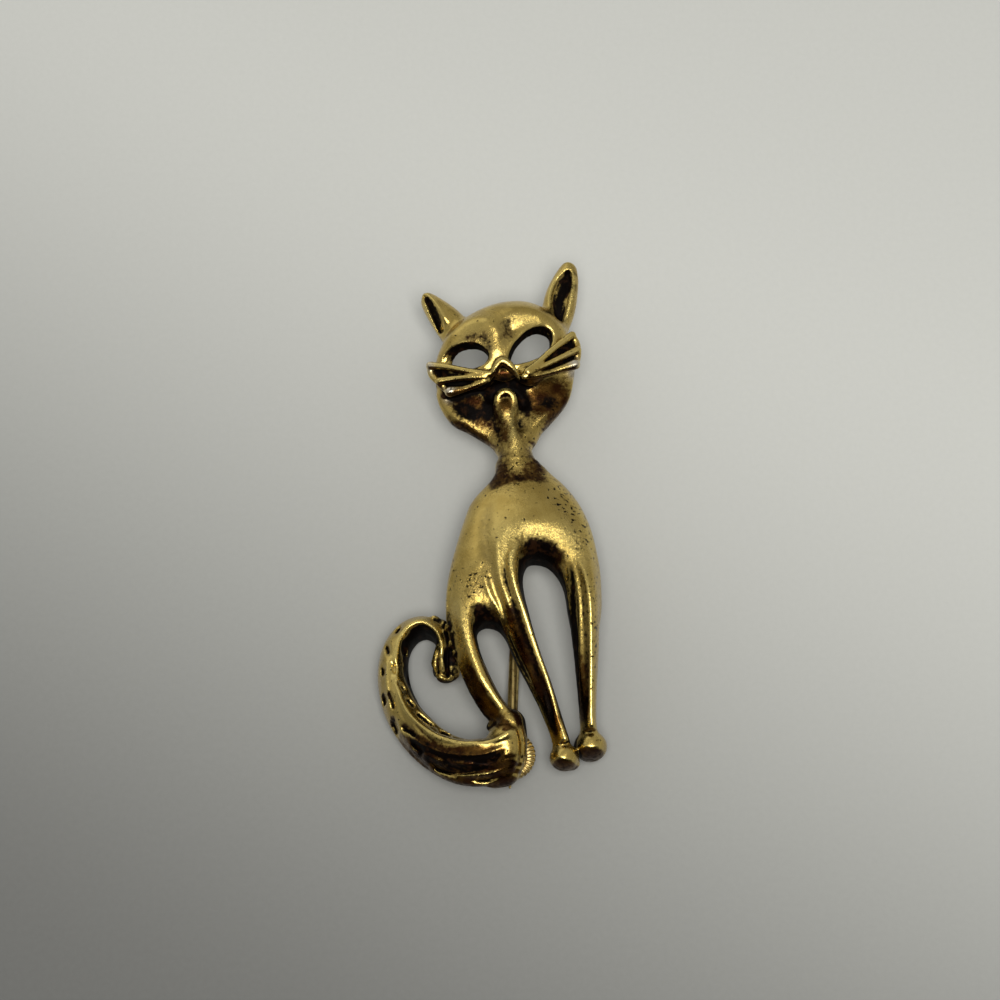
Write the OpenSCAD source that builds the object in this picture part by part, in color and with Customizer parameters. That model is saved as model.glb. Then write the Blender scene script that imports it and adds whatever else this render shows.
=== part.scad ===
// Cat brooch: one hollow-backed casting of a sitting cat with a tall neck and a curled tail,
// and a pin, its hinge and its catch on the back.
// X runs across the cat, Y from the paws up to the ears, Z from the table up to the viewer.

/* [Figure] */
// Length of the brooch from the tail to the tip of the right ear
brooch_l = 62.5; // [52:0.5:75]
// Width of the brooch from the tail to the right paw
brooch_w = 25.6; // [22:0.2:30]
// Height of the relief above its flat back
relief_h = 7.4; // [6.4:0.1:9]
// How far the two solder pads stand off the flat back
pad_h = 0.15; // [0.05:0.05:0.4]
// Wall of the hollow head and body
shell_wall = 1.5; // [1:0.1:2]
// Radius of a whisker rib at the muzzle
whisker_r = 0.4; // [0.3:0.05:0.6]

/* [Pin] */
// Radius of the pin stem
stem_r = 0.6; // [0.45:0.05:0.75]
// Length of the ground point of the stem
point_l = 6; // [4:0.5:9]
// Radius of the flat end of the point
point_r = 0.12; // [0.08:0.02:0.2]
// How far the point passes the middle of the catch
point_past = 3.2; // [2:0.1:3.8]

/* [Hinge] */
// Width of the hinge plate
hinge_plate_w = 4.8; // [4.4:0.1:5.6]
// Length of the hinge plate
hinge_plate_l = 5; // [4.4:0.1:5.6]
// Thickness of the hinge plate and of the catch plate
plate_t = 0.6; // [0.4:0.05:0.9]
// Thickness of each hinge cheek
cheek_t = 0.7; // [0.5:0.05:1]
// Radius of the rivet
rivet_r = 0.4; // [0.3:0.05:0.5]
// Thickness of each rivet head
rivet_head_t = 0.3; // [0.2:0.05:0.5]
// Width of the eye of the stem between the cheeks
eye_w = 1.6; // [1.3:0.1:2.2]
// Wall of the eye round the rivet
eye_wall = 0.75; // [0.5:0.05:1]
// Clearance round the rivet
rivet_clear = 0.05; // [0.03:0.01:0.09]
// Clearance at each side of the eye
side_clear = 0.08; // [0.05:0.01:0.2]

/* [Catch] */
// Diameter of the round catch plate
catch_plate_d = 5.3; // [4.6:0.1:6.4]
// Outer radius of the catch ring, which is the height of the stem over the table
catch_r = 1.7; // [1.5:0.05:2.2]
// Width of the catch ring along the stem
catch_w = 1.6; // [1.2:0.1:2.2]
// Clearance between the stem and the catch ring
catch_clear = 0.22; // [0.12:0.02:0.3]
// Clearance at each side of the stem in the mouth of the catch
mouth_clear = 0.1; // [0.06:0.01:0.18]

/* [Hidden] */

gold = [0.72, 0.58, 0.26];
pin_gold = [0.66, 0.55, 0.3];

head_turn = 16;
back_z = 2 * catch_r + plate_t;
// The stem leans a little, as the photo shows it between the legs.
pin_lean = 2;
hinge_x = 0.125 * brooch_w;
hinge_y = 0.06 * brooch_l;
// From the rivet to the middle of the catch
pin_run = 0.496 * brooch_l;
stem_z = catch_r;
gap_w = eye_w + 2 * side_clear;
seat_h = pad_h + 0.3 * relief_h;
eye_r = rivet_r + rivet_clear + eye_wall;
stem_l = pin_run + point_past - point_l;
// The stem thickens towards its eye.
root_r = max(0.45 * eye_w, stem_r + 0.02);
bore_r = stem_r + catch_clear;
mouth_w = 2 * (stem_r + mouth_clear);
hinge_span = gap_w + 2 * cheek_t;
tiny = 0.01;
// Middle of the length in percent of brooch_l, from the level of the right hip
middle_y = 0.8;

// Each row of a limb is one section: x and width in percent of brooch_w, y in percent of
// brooch_l, and the levels of its back and of its crest. A level is a percent of relief_h
// over the flat back, or below it a percent of the way down to the table.
torso_rows = [
    [12.5, 10.5, 19, 0, 46],
    [14.2, 7.5, 33, 0, 58],
    [14.5, 3.5, 47, 0, 74],
    [15, -0.5, 55, 0, 86],
    [15, -4.5, 60.5, 0, 92],
    [14.5, -9, 65, 0, 93],
    [14, -13, 66.5, 0, 89],
    [14, -17, 66, 0, 78],
    [14, -20, 61, 0, 64],
    [14, -22, 50, 14, 44]
];
neck_rows = [
    [10.5, 17.5, 23, 5, 50],
    [10, 14.8, 17, 3, 50],
    [10.5, 13, 15.5, 3, 50],
    [11.6, 10.5, 20, 3, 50],
    [13.4, 8.4, 26, 3, 48]
];
jaw_rows = [
    [10.2, 13.8, 11, 12, 38],
    [11, 17, 28, 1, 46],
    [11, 20, 45, 2, 50],
    [9, 22.2, 56, 4, 54],
    [7, 25.8, 63, 5, 58],
    [5, 29, 63.5, 5, 58]
];
jaw_dish_rows = [
    [10.4, 17.8, 10, 30, 140],
    [10.6, 20, 31, 26, 140],
    [9, 22, 44, 26, 140],
    [7, 25, 51, 28, 140],
    [6, 27, 50, 32, 140]
];
skull_rows = [
    [6.7, 24.8, 50, 12, 52],
    [6.2, 26, 60, 4, 74],
    [5.6, 28.6, 63, 5, 84],
    [4.6, 31.4, 63, 6, 92],
    [3.6, 34.4, 59.5, 8, 97],
    [2.8, 37.3, 50, 12, 93],
    [2, 39.8, 36, 17, 80],
    [1.6, 41.3, 21, 23, 60],
    [1.4, 42.1, 7, 30, 44]
];
left_front_leg_rows = [
    [8.5, -4.5, 10, 20, 84],
    [6.8, -10, 12.5, 2, 93],
    [7.2, -15, 12.5, 2, 88],
    [11.2, -20.6, 12, 2, 76],
    [16, -26.2, 10.4, 2, 64],
    [20.6, -30.4, 9, 2, 55],
    [24.4, -34.4, 8, 2, 46],
    [28.4, -39, 7.4, 2, 40],
    [30.4, -41.6, 7.8, -20, 38]
];
left_paw_rows = [
    [30.4, -41.4, 7, -30, 38],
    [31, -42.6, 11.5, -50, 35],
    [31.4, -43.6, 12.8, -60, 27],
    [31.6, -44.8, 10.5, -64, 5],
    [31.6, -45.4, 6, -64, -20]
];
right_front_leg_rows = [
    [34, -5, 12, 10, 60],
    [38.5, -10, 14, 3, 76],
    [40, -15, 14, 3, 80],
    [40.6, -20.5, 12.4, 3, 72],
    [41, -25.5, 10.6, 3, 62],
    [41.2, -31, 8.6, 3, 51],
    [41.6, -36.5, 7.2, -10, 40],
    [42, -39, 7.6, -30, 34]
];
right_paw_rows = [
    [42, -38.6, 7.6, -40, 34],
    [42.6, -39.8, 12.8, -90, 28],
    [42.8, -40.8, 14.4, -100, 20],
    [42.8, -42, 11.5, -100, -20],
    [42.8, -42.6, 6, -96, -45]
];
hind_leg_rows = [
    [-7, -8.5, 14, 20, 58],
    [-11, -14, 15.5, 4, 72],
    [-13.2, -19.6, 12.4, 4, 70],
    [-10.6, -25, 11, 4, 64],
    [-6, -30, 11, 4, 59],
    [-0.8, -34, 10.6, 4, 54],
    [4, -36.6, 10, 4, 50],
    [7, -38.4, 9, 4, 50]
];
tail_root_rows = [
    [8.4, -35.6, 10, 2, 50],
    [8.3, -37.8, 13, 2, 60],
    [6.8, -41, 17.6, 2, 66],
    [4, -44.4, 20.5, 2, 62],
    [1, -47.2, 17, 2, 40],
    [-0.5, -49, 8, 2, 22]
];
tail_rows = [
    [4, -44.4, 17, 0, 62],
    [-4, -44.8, 20, -8, 60],
    [-14, -44.2, 19, -30, 53],
    [-25, -41.4, 17.5, -62, 43],
    [-34, -37.3, 16.4, -88, 34],
    [-40.5, -32.6, 15, -100, 27],
    [-43.3, -27.4, 13.6, -100, 24],
    [-42, -22.7, 12, -98, 22],
    [-36.5, -19.4, 10.4, -94, 21],
    [-29.4, -18.4, 8.8, -90, 21],
    [-23, -19.7, 8, -84, 21],
    [-20, -22.4, 8, -80, 21],
    [-20, -25.2, 10, -74, 20],
    [-20.6, -27.8, 12.4, -70, 16]
];
right_ear_rows = [
    [27.8, 37.4, 12, 10, 44],
    [29.8, 41, 14.8, 12, 50],
    [31.6, 44.4, 14.6, 16, 52],
    [33.8, 47.8, 11.5, 20, 50],
    [35.2, 50.2, 7, 24, 46],
    [35.8, 51, 3, 28, 40]
];
right_ear_dish_rows = [
    [30.4, 39, 4, 36, 90],
    [31.8, 42, 8.4, 32, 90],
    [33.6, 45.6, 8, 32, 90],
    [35.4, 49.2, 3, 38, 90]
];
left_ear_rows = [
    [-15, 36.6, 15, 10, 50],
    [-20, 39.2, 14, 10, 54],
    [-25.2, 41.6, 11, 14, 52],
    [-29.6, 43.6, 7, 18, 48],
    [-31.6, 44.4, 3, 22, 42]
];
left_ear_dish_rows = [
    [-21, 36.4, 4, 30, 90],
    [-26, 39.6, 4.6, 28, 90],
    [-30.6, 42.6, 2.4, 34, 90]
];
left_eye_points = [
    [-22, 29.2], [-19.5, 31.2], [-13, 32], [-6, 31.6], [-1.8, 29.8], [-4, 28.1], [-12, 27.2], [-18, 27.8]
];
right_eye_points = [
    [7.6, 29.2], [10, 31.8], [15.5, 34.4], [21, 35.6], [26, 35.2], [27, 33.2], [23, 30.6], [16, 29],
    [10, 28.4]
];
arch_points = [
    [13, -13.6], [12.8, -10.8], [15.6, -8.8], [20, -8.4], [24.6, -9], [29, -11], [33, -14.4],
    [34.6, -20.3], [35, -25], [19.6, -25], [17, -20.3]
];
crotch_points = [
    [-10, -26], [-8.2, -22.6], [-4, -20.2], [1, -20.3], [6, -22.4], [9, -26]
];
// Each whisker row: where the rib leaves the muzzle, its tip, their levels, and its tip's radius
// in ribs.
whisker_rows = [
    [-1.6, 27.2, 84, -27.4, 29, 62, 1],
    [-2.4, 26.2, 82, -24, 26, 60, 1],
    [-1.6, 25.4, 80, -18, 23.6, 58, 1.5],
    [13.6, 26.2, 84, 36.6, 34.6, 66, 1],
    [14, 25.8, 82, 38, 31.6, 64, 1],
    [13.6, 25.6, 80, 37.4, 29, 62, 1.5]
];

function px(s) = s * brooch_w / 100;
function py(s) = (s - middle_y) * brooch_l / 100;
function pz(s) = (s < 0 ? 1 + s / 100 : 1) * (back_z + pad_h) + max(s, 0) * relief_h / 100;
function in_mm(rows) = [for (r = rows) [px(r[0]), py(r[1]), px(r[2]), pz(r[3]), pz(r[4])]];

// A smooth curve through four neighbouring rows, for t from 0 to 1 between the middle two.
function between(a, b, c, d, t) =
    0.5 * (2 * b + (c - a) * t + (2 * a - 5 * b + 4 * c - d) * t * t
    + (3 * b - a - 3 * c + d) * t * t * t);
function open_curve(rows, steps) = [
    for (i = [0:len(rows) - 2])
        for (k = [0:steps - 1])
            between(rows[max(i - 1, 0)], rows[i], rows[i + 1],
                rows[min(i + 2, len(rows) - 1)], k / steps),
    rows[len(rows) - 1]
];
function closed_curve(points, steps) = [
    for (i = [0:len(points) - 1])
        for (k = [0:steps - 1])
            between(points[(i + len(points) - 1) % len(points)], points[i],
                points[(i + 1) % len(points)], points[(i + 2) % len(points)], k / steps)
];
function across(rows, i, turn) =
    is_num(turn) ? [cos(turn), sin(turn)] :
    let (a = rows[max(i - 1, 0)], b = rows[min(i + 1, len(rows) - 1)],
        dx = b[0] - a[0], dy = b[1] - a[1], d = norm([dx, dy]))
    [dy / d, -dx / d];
// One section stands upright across the limb. Its crest is round and its back is flatter.
function section(r, side, sides) =
    let (low = max(r[3], 0), middle = low + 0.35 * (r[4] - low))
    [
        for (k = [0:sides - 1])
            let (a = 360 * k / sides, half = r[2] / 2 * cos(a), up = sin(a))
            [
                r[0] + side[0] * half,
                r[1] + side[1] * half,
                up >= 0 ? middle + (r[4] - middle) * up : middle - (middle - low) * pow(-up, 0.5)
            ]
    ];

module loft(rows, sides, turn) {
    n = len(rows);
    points = [for (i = [0:n - 1]) each section(rows[i], across(rows, i, turn), sides)];
    skin = [
        for (i = [0:n - 2])
            for (k = [0:sides - 1])
                let (a = i * sides + k, b = i * sides + (k + 1) % sides)
                each [[a, b, a + sides], [b, b + sides, a + sides]]
    ];
    near_end = [for (k = [0:sides - 1]) sides - 1 - k];
    far_end = [for (k = [0:sides - 1]) (n - 1) * sides + k];
    polyhedron(points = points, faces = concat(skin, [near_end, far_end]));
}

module limb(rows, sides = 12, steps = 2, turn = "path") {
    loft(open_curve(in_mm(rows), steps), sides, turn);
}

// The hollow in a limb, a wall inside its skin and open at the back.
// Its sections stand between the limb's own.
module limb_hollow(rows, sides = 16, turn = "path") {
    curve = open_curve(in_mm(rows), 3);
    inner = [
        for (i = [1:3:len(curve) - 1])
            let (r = curve[i])
            [r[0], r[1], max(r[2] - 2 * shell_wall, shell_wall), 0, r[4] - shell_wall]
    ];
    loft(inner, sides, turn);
}

module through_cut(points, steps = 2) {
    outline = closed_curve([for (p = points) [px(p[0]), py(p[1])]], steps);
    translate([0, 0, -back_z])
        linear_extrude(height = 2 * back_z + 2 * relief_h)
            polygon(outline);
}

// An arch under the body. It is wider at the front, so that its edge rounds over, and margin
// widens it all round.
module arch_block(points, grow, margin = 0) {
    outline = closed_curve([for (p = points) [px(p[0]), py(p[1])]], 2);
    last = points[len(points) - 1];
    foot = [(px(points[0][0]) + px(last[0])) / 2, py(points[0][1])];
    hull() {
        translate([0, 0, -back_z])
            linear_extrude(height = back_z + pz(20))
                offset(delta = margin)
                    polygon(outline);
        translate([0, 0, pz(110)])
            linear_extrude(height = tiny)
                offset(delta = margin)
                    polygon([for (p = outline) p + grow * (p - foot)]);
    }
}

module bead(x, y, level, r) {
    translate([px(x), py(y), pz(level)])
        sphere(r = r, $fn = 12);
}

module whiskers() {
    for (w = whisker_rows)
        hull() {
            bead(w[0], w[1], w[2], whisker_r);
            bead(w[3], w[4], w[5], whisker_r * w[6]);
        }
    // The thin web that joins the three ribs of a side lies a rib's radius below them.
    for (side = [0, 3])
        hull()
            for (i = [0:2]) {
                w = whisker_rows[side + i];
                bead(w[0], w[1], w[2] - 10, whisker_r / 2);
                bead(w[3], w[4], w[5] - 10, whisker_r / 2);
            }
}

module nose() {
    hull() {
        bead(0.5, 26, 82, 2 * whisker_r);
        bead(8.5, 27, 82, 2 * whisker_r);
        bead(4.5, 28, 92, 1.5 * whisker_r);
    }
    hull() {
        bead(4.5, 28, 90, 1.5 * whisker_r);
        bead(3.4, 33.5, 88, 2 * whisker_r);
    }
}

module chin() {
    bead(6.2, 22.3, 50, 3 * whisker_r);
    hull() {
        bead(6.2, 21.6, 44, 2 * whisker_r);
        bead(8.6, 15, 38, 2 * whisker_r);
    }
}

module head() {
    difference() {
        union() {
            difference() {
                limb(jaw_rows, 20, 2, head_turn);
                limb(jaw_dish_rows, 16, 2, head_turn);
            }
            limb(skull_rows, 24, 2, head_turn);
            whiskers();
            nose();
        }
        limb_hollow([for (i = [1:len(skull_rows) - 3]) skull_rows[i]], 20, head_turn);
        through_cut(left_eye_points);
        through_cut(right_eye_points);
    }
    chin();
    difference() {
        limb(right_ear_rows, 14);
        limb(right_ear_dish_rows, 10);
    }
    difference() {
        limb(left_ear_rows, 14);
        limb(left_ear_dish_rows, 10);
    }
}

module body() {
    difference() {
        limb(torso_rows, 24);
        difference() {
            limb_hollow([for (i = [2:len(torso_rows) - 2]) torso_rows[i]], 20);
            arch_block(arch_points, 0.25, shell_wall);
            arch_block(crotch_points, 0.2, shell_wall);
        }
        arch_block(arch_points, 0.25);
        arch_block(crotch_points, 0.2);
    }
    limb(neck_rows, 16);
    limb(left_front_leg_rows);
    limb(left_paw_rows);
    limb(right_front_leg_rows);
    limb(right_paw_rows);
    limb(hind_leg_rows, 14);
}

module tail() {
    limb(tail_root_rows, 16);
    limb(tail_rows, 14);
}

// The pin and what holds it are drawn with the rivet's middle above the origin and the stem
// along -Y, and then set in their place.
module at_hinge() {
    translate([hinge_x, hinge_y, 0])
        rotate([0, 0, -pin_lean])
            children();
}

// Flat pads on the back for the hinge plate and the catch plate.
module seats() {
    at_hinge() {
        translate([-hinge_plate_w / 2, -hinge_plate_l / 2, back_z])
            cube([hinge_plate_w, hinge_plate_l, seat_h]);
        translate([-0.2 * catch_plate_d, -pin_run, back_z])
            cylinder(r = 0.3 * catch_plate_d, h = seat_h, $fn = 24);
    }
}

module cat_casting() {
    color(gold)
        union() {
            head();
            body();
            tail();
            seats();
        }
}

module rivet_bore(l) {
    translate([0, 0, stem_z])
        rotate([0, 90, 0])
            cylinder(r = rivet_r + rivet_clear, h = l, center = true, $fn = 48);
}

module hinge_plate() {
    color(pin_gold)
        at_hinge()
            difference() {
                union() {
                    translate([-hinge_plate_w / 2, -hinge_plate_l / 2, back_z - plate_t])
                        cube([hinge_plate_w, hinge_plate_l, plate_t]);
                    for (side = [-1, 1])
                        translate([side * (gap_w + cheek_t) / 2, 0, stem_z]) {
                            rotate([0, 90, 0])
                                cylinder(r = stem_z, h = cheek_t, center = true, $fn = 48);
                            translate([-cheek_t / 2, -stem_z, 0])
                                cube([cheek_t, 2 * stem_z, back_z - stem_z - plate_t / 2]);
                        }
                }
                rivet_bore(2 * hinge_span);
            }
}

module hinge_rivet() {
    shank = hinge_span + 2 * side_clear;
    color(pin_gold)
        at_hinge()
            translate([0, 0, stem_z])
                rotate([0, 90, 0]) {
                    cylinder(r = rivet_r, h = shank + rivet_head_t, center = true, $fn = 48);
                    for (side = [-1, 1])
                        translate([0, 0, side * (shank + rivet_head_t) / 2])
                            cylinder(r = 2 * rivet_r, h = rivet_head_t, center = true, $fn = 48);
                }
}

module pin_stem() {
    color(pin_gold)
        at_hinge()
            difference() {
                translate([0, 0, stem_z]) {
                    rotate([0, 90, 0])
                        cylinder(r = eye_r, h = eye_w, center = true, $fn = 48);
                    rotate([90, 0, 0]) {
                        cylinder(r1 = root_r, r2 = stem_r, h = 2 * eye_r, $fn = 48);
                        cylinder(r = stem_r, h = stem_l, $fn = 48);
                        translate([0, 0, stem_l])
                            cylinder(r1 = stem_r, r2 = point_r, h = point_l, $fn = 48);
                    }
                }
                rivet_bore(2 * eye_w);
            }
}

module catch_ring() {
    color(pin_gold)
        at_hinge()
            translate([0, -pin_run, 0]) {
                translate([0, 0, back_z - plate_t])
                    cylinder(d = catch_plate_d, h = plate_t, $fn = 64);
                difference() {
                    union() {
                        translate([0, 0, stem_z])
                            rotate([90, 0, 0])
                                cylinder(r = catch_r, h = catch_w, center = true, $fn = 64);
                        translate([-stem_r, -catch_w / 2, stem_z])
                            cube([2 * stem_r, catch_w, catch_r + plate_t / 2]);
                    }
                    translate([0, 0, stem_z])
                        rotate([90, 0, 0])
                            cylinder(r = bore_r, h = 2 * catch_w, center = true, $fn = 64);
                    translate([-mouth_w / 2, -catch_w, -catch_r])
                        cube([mouth_w, 2 * catch_w, catch_r + stem_z]);
                }
            }
}

cat_casting();
hinge_plate();
hinge_rivet();
pin_stem();
catch_ring();
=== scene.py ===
import math

import bpy
import numpy as np
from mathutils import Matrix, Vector


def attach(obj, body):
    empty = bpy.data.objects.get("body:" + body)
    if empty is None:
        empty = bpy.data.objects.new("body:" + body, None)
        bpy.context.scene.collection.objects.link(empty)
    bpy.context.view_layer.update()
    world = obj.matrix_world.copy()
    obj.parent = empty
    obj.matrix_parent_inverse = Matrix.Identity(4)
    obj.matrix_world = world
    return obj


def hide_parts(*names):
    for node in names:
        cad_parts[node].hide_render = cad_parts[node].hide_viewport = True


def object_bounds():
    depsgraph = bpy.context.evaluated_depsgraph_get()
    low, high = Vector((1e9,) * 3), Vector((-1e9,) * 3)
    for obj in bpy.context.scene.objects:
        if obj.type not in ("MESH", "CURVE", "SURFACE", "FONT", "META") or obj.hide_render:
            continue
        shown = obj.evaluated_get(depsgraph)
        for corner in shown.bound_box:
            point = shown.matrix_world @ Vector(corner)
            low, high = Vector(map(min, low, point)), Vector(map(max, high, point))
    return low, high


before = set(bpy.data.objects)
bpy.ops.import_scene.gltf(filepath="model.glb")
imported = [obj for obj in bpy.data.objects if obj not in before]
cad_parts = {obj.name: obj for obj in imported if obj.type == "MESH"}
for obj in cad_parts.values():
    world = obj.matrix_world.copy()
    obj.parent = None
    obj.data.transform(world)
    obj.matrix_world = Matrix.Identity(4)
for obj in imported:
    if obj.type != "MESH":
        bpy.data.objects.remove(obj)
cad_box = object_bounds()

# Lengths here are millimetres, and a mesh is scaled to metres when it is made.
MM = 0.001
BROOCH_L = 62.5
BROOCH_W = 25.6
RELIEF_H = 7.4
PAD_H = 0.15
BACK_Z = 4.0
MIDDLE_Y = 0.8
SHELL_WALL = 1.5
HEAD_TURN = 16
HINGE = (3.2, 3.75, 1.7)
PIN_LEAN = 2
PIN_RUN = 31.0
CATCH_PLATE_R = 2.65
PLATE_T = 0.6
# How far up its depth a limb is widest, and how finely its rows are smoothed
WIDEST = 0.35
LIMB_STEPS = 6
# The camera looks at the middle of the brooch, in mm, from a little below it on the page.
LOOK_AT = (0.913, 2.78, 4.0)
CAMERA_TILT = 20
CAMERA_FAR = 0.3
VIEW_ANGLE = 21.6
SENSOR = 36

# Rows as in the part's source: x, y and width in percent, then the back and the crest level.
TORSO = [
    (12.5, 10.5, 19, 0, 46), (14.2, 7.5, 33, 0, 58), (14.5, 3.5, 47, 0, 74), (15, -0.5, 55, 0, 86),
    (15, -4.5, 60.5, 0, 92), (14.5, -9, 65, 0, 93), (14, -13, 66.5, 0, 89), (14, -17, 66, 0, 78),
    (14, -20, 61, 0, 64), (14, -22, 50, 14, 44),
]
NECK = [
    (10.5, 17.5, 23, 5, 50), (10, 14.8, 17, 3, 50), (10.5, 13, 15.5, 3, 50), (11.6, 10.5, 20, 3, 50),
    (13.4, 8.4, 26, 3, 48),
]
# The corners beside the neck that the body's smooth shoulders leave free, in mm
RIGHT_SHOULDER = [
    (4.8, 8.2), (4.85, 7.4), (5.05, 6.85), (5.5, 6.26), (6.4, 5.55), (7.4, 4.83), (8.3, 4.1), (9.3, 3.0),
    (10.2, 6.0), (8.0, 8.4),
]
LEFT_SHOULDER = [
    (0.1, 6.6), (0.35, 5.7), (0.3, 4.9), (-0.2, 4.1), (-0.9, 3.33), (-1.7, 2.6), (-2.7, 1.5), (-4.0, 4.0),
    (-2.0, 6.4),
]
JAW = [
    (10.2, 13.8, 11, 12, 38), (11, 17, 28, 1, 46), (11, 20, 45, 2, 50), (9, 22.2, 56, 4, 54),
    (7, 25.8, 63, 5, 58), (5, 29, 63.5, 5, 58),
]
SKULL = [
    (6.5, 26.0, 50, 12, 52), (6.2, 27, 60, 4, 74), (5.6, 28.8, 63, 5, 84), (4.6, 31.4, 63, 6, 92),
    (3.6, 34.4, 59.5, 8, 97), (2.8, 37.3, 50, 12, 93), (2, 39.8, 36, 17, 80), (1.6, 41.3, 21, 23, 60),
    (1.4, 42.1, 7, 30, 44),
]
LEFT_FRONT_LEG = [
    (8.5, -4.5, 10, 20, 84), (6.8, -10, 12.5, 2, 93), (7.2, -15, 12.5, 2, 88), (11.2, -20.6, 12, 2, 76),
    (16, -26.2, 10.4, 2, 64), (20.6, -30.4, 9, 2, 55), (24.4, -34.4, 8, 2, 46), (28.4, -39, 7.4, 2, 40),
    (30.4, -41.6, 7.8, -20, 38),
]
RIGHT_FRONT_LEG = [
    (34, -5, 12, 10, 60), (38.5, -10, 14, 3, 76), (40, -15, 14, 3, 80), (40.6, -20.5, 12.4, 3, 72),
    (41, -25.5, 10.6, 3, 62), (41.2, -31, 8.6, 3, 51), (41.6, -36.5, 7.2, -10, 40), (42, -39, 7.6, -30, 34),
]
HIND_LEG = [
    (-7, -8.5, 14, 20, 58), (-11, -14, 15.5, 4, 72), (-13.2, -19.6, 12.4, 4, 70), (-10.6, -25, 11, 4, 64),
    (-6, -30, 11, 4, 59), (-0.8, -34, 10.6, 4, 54), (4, -36.6, 10, 4, 50), (7, -38.4, 9, 4, 50),
]
TAIL_ROOT = [
    (8.4, -35.6, 10, 2, 50), (8.3, -37.8, 13, 2, 60), (6.8, -41, 17.6, 2, 66), (4, -44.4, 20.5, 2, 62),
    (1, -47.2, 17, 2, 40), (-0.5, -49, 8, 2, 22),
]
TAIL = [
    (4, -44.4, 17, 0, 62), (-4, -44.8, 20, -8, 60), (-14, -44.2, 19, -30, 53), (-25, -41.4, 17.5, -62, 43),
    (-34, -37.3, 16.4, -88, 34), (-40.5, -32.6, 15, -100, 27), (-43.3, -27.4, 13.6, -100, 24),
    (-42, -22.7, 12, -98, 22), (-36.5, -19.4, 10.4, -94, 21), (-29.4, -18.4, 8.8, -90, 21),
    (-23, -19.7, 8, -84, 21), (-20, -22.4, 8, -80, 21), (-20, -25.2, 10, -74, 20),
    (-20.6, -27.8, 12.4, -70, 16),
]
RIGHT_EAR = [
    (27.8, 37.4, 12, 10, 44), (29.8, 41, 14.8, 12, 50), (31.6, 44.4, 14.6, 16, 52),
    (33.8, 47.8, 11.5, 20, 50), (35.2, 50.2, 7, 24, 46), (35.8, 51, 3, 28, 40),
]
LEFT_EAR = [
    (-15, 36.6, 15, 10, 50), (-20, 39.2, 14, 10, 54), (-25.2, 41.6, 11, 14, 52), (-29.6, 43.6, 7, 18, 48),
    (-31.6, 44.4, 3, 22, 42),
]
LEFT_EYE = [
    (-22, 29.2), (-19.5, 31.2), (-13, 32), (-6, 31.6), (-1.8, 29.8), (-4, 28.1), (-12, 27.2), (-18, 27.8),
]
RIGHT_EYE = [
    (7.6, 29.2), (10, 31.8), (15.5, 34.4), (21, 35.6), (26, 35.2), (27, 33.2), (23, 30.6), (16, 29),
    (10, 28.4),
]
ARCH = [
    (13, -13.6), (12.8, -10.8), (15.6, -8.8), (20, -8.4), (24.6, -9), (29, -11), (33, -14.4), (34.6, -20.3),
    (35, -25), (19.6, -25), (17, -20.3),
]
CROTCH = [(-10, -26), (-8.2, -22.6), (-4, -20.2), (1, -20.3), (6, -22.4), (9, -26)]
# Points in mm from here on. The ribs of the whiskers run from the muzzle to their tips.
LEFT_WHISKERS = [
    [(-0.4, 15.8, 10.2), (-2.8, 16.3, 9.9), (-5.2, 17.0, 9.4), (-7.1, 17.4, 8.9)],
    [(-0.6, 15.5, 10.1), (-2.6, 15.55, 9.8), (-4.2, 15.6, 9.3), (-6.0, 15.5, 8.8)],
    [(-0.4, 15.1, 10.0), (-1.7, 14.8, 9.6), (-3.1, 14.4, 9.2), (-4.8, 14.25, 8.7)],
]
RIGHT_WHISKERS = [
    [(4.0, 16.1, 10.3), (5.4, 17.4, 10.0), (7.0, 19.1, 9.7), (9.2, 21.05, 9.2)],
    [(4.2, 15.9, 10.2), (5.7, 16.8, 9.9), (7.6, 17.9, 9.6), (9.8, 19.25, 9.1)],
    [(3.6, 15.5, 10.1), (5.1, 15.8, 9.8), (7.1, 16.5, 9.4), (9.5, 17.5, 9.0)],
]
JAW_DISH = [
    (0.2, 9.6), (-2.0, 11.1), (-4.0, 12.7), (-5.3, 14.9), (-3, 16.2), (0, 16.6), (4, 17), (8.6, 17.6),
    (7.8, 14.1), (5.7, 12.6), (4.3, 11.2), (3.1, 10.0),
]
# Where the hollow of the head starts, measured along the head's own axis
HOLLOW_FROM = 16.0
TAIL_DASHES = [
    ((-10.9, -13.7), (-10.2, -12.4)), ((-11.8, -14.6), (-11.5, -16.3)), ((-11.0, -17.0), (-10.8, -18.7)),
    ((-10.5, -19.3), (-9.7, -20.4)), ((-11.5, -20.4), (-10.8, -22.6)), ((-9.7, -21.1), (-8.5, -22.4)),
    ((-11.1, -23.1), (-10.4, -24.7)), ((-8.5, -22.9), (-6.4, -24.6)), ((-9.9, -24.3), (-8.3, -25.8)),
    ((-8.9, -26.1), (-7.5, -27.6)), ((-12.2, -17.2), (-12.1, -18.6)), ((-6.0, -25.2), (-4.4, -25.6)),
    ((-9.9, -14.4), (-9.95, -16.0)), ((-9.6, -17.6), (-9.2, -19.2)), ((-8.1, -21.0), (-7.0, -22.5)),
    ((-5.6, -23.6), (-3.8, -24.5)), ((-2.6, -25.2), (-1.0, -25.5)), ((-12.1, -20.2), (-11.8, -21.6)),
]
TAIL_LOOP = [
    (-9.6, -14.4), (-8.6, -13.0), (-6.9, -13.2), (-6.0, -14.8), (-6.8, -17.0), (-5.8, -19.3), (-3.2, -19.2),
    (-1.9, -21.5), (-0.7, -24.2), (-3.0, -25.0), (-6.0, -23.6), (-8.4, -20.8), (-9.6, -17.5),
]
LEG_GAP = [(4.0, -13.0), (8.9, -13.0), (9.3, -25.0), (8.4, -26.0), (7.6, -24.5), (5.4, -17.5)]
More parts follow.
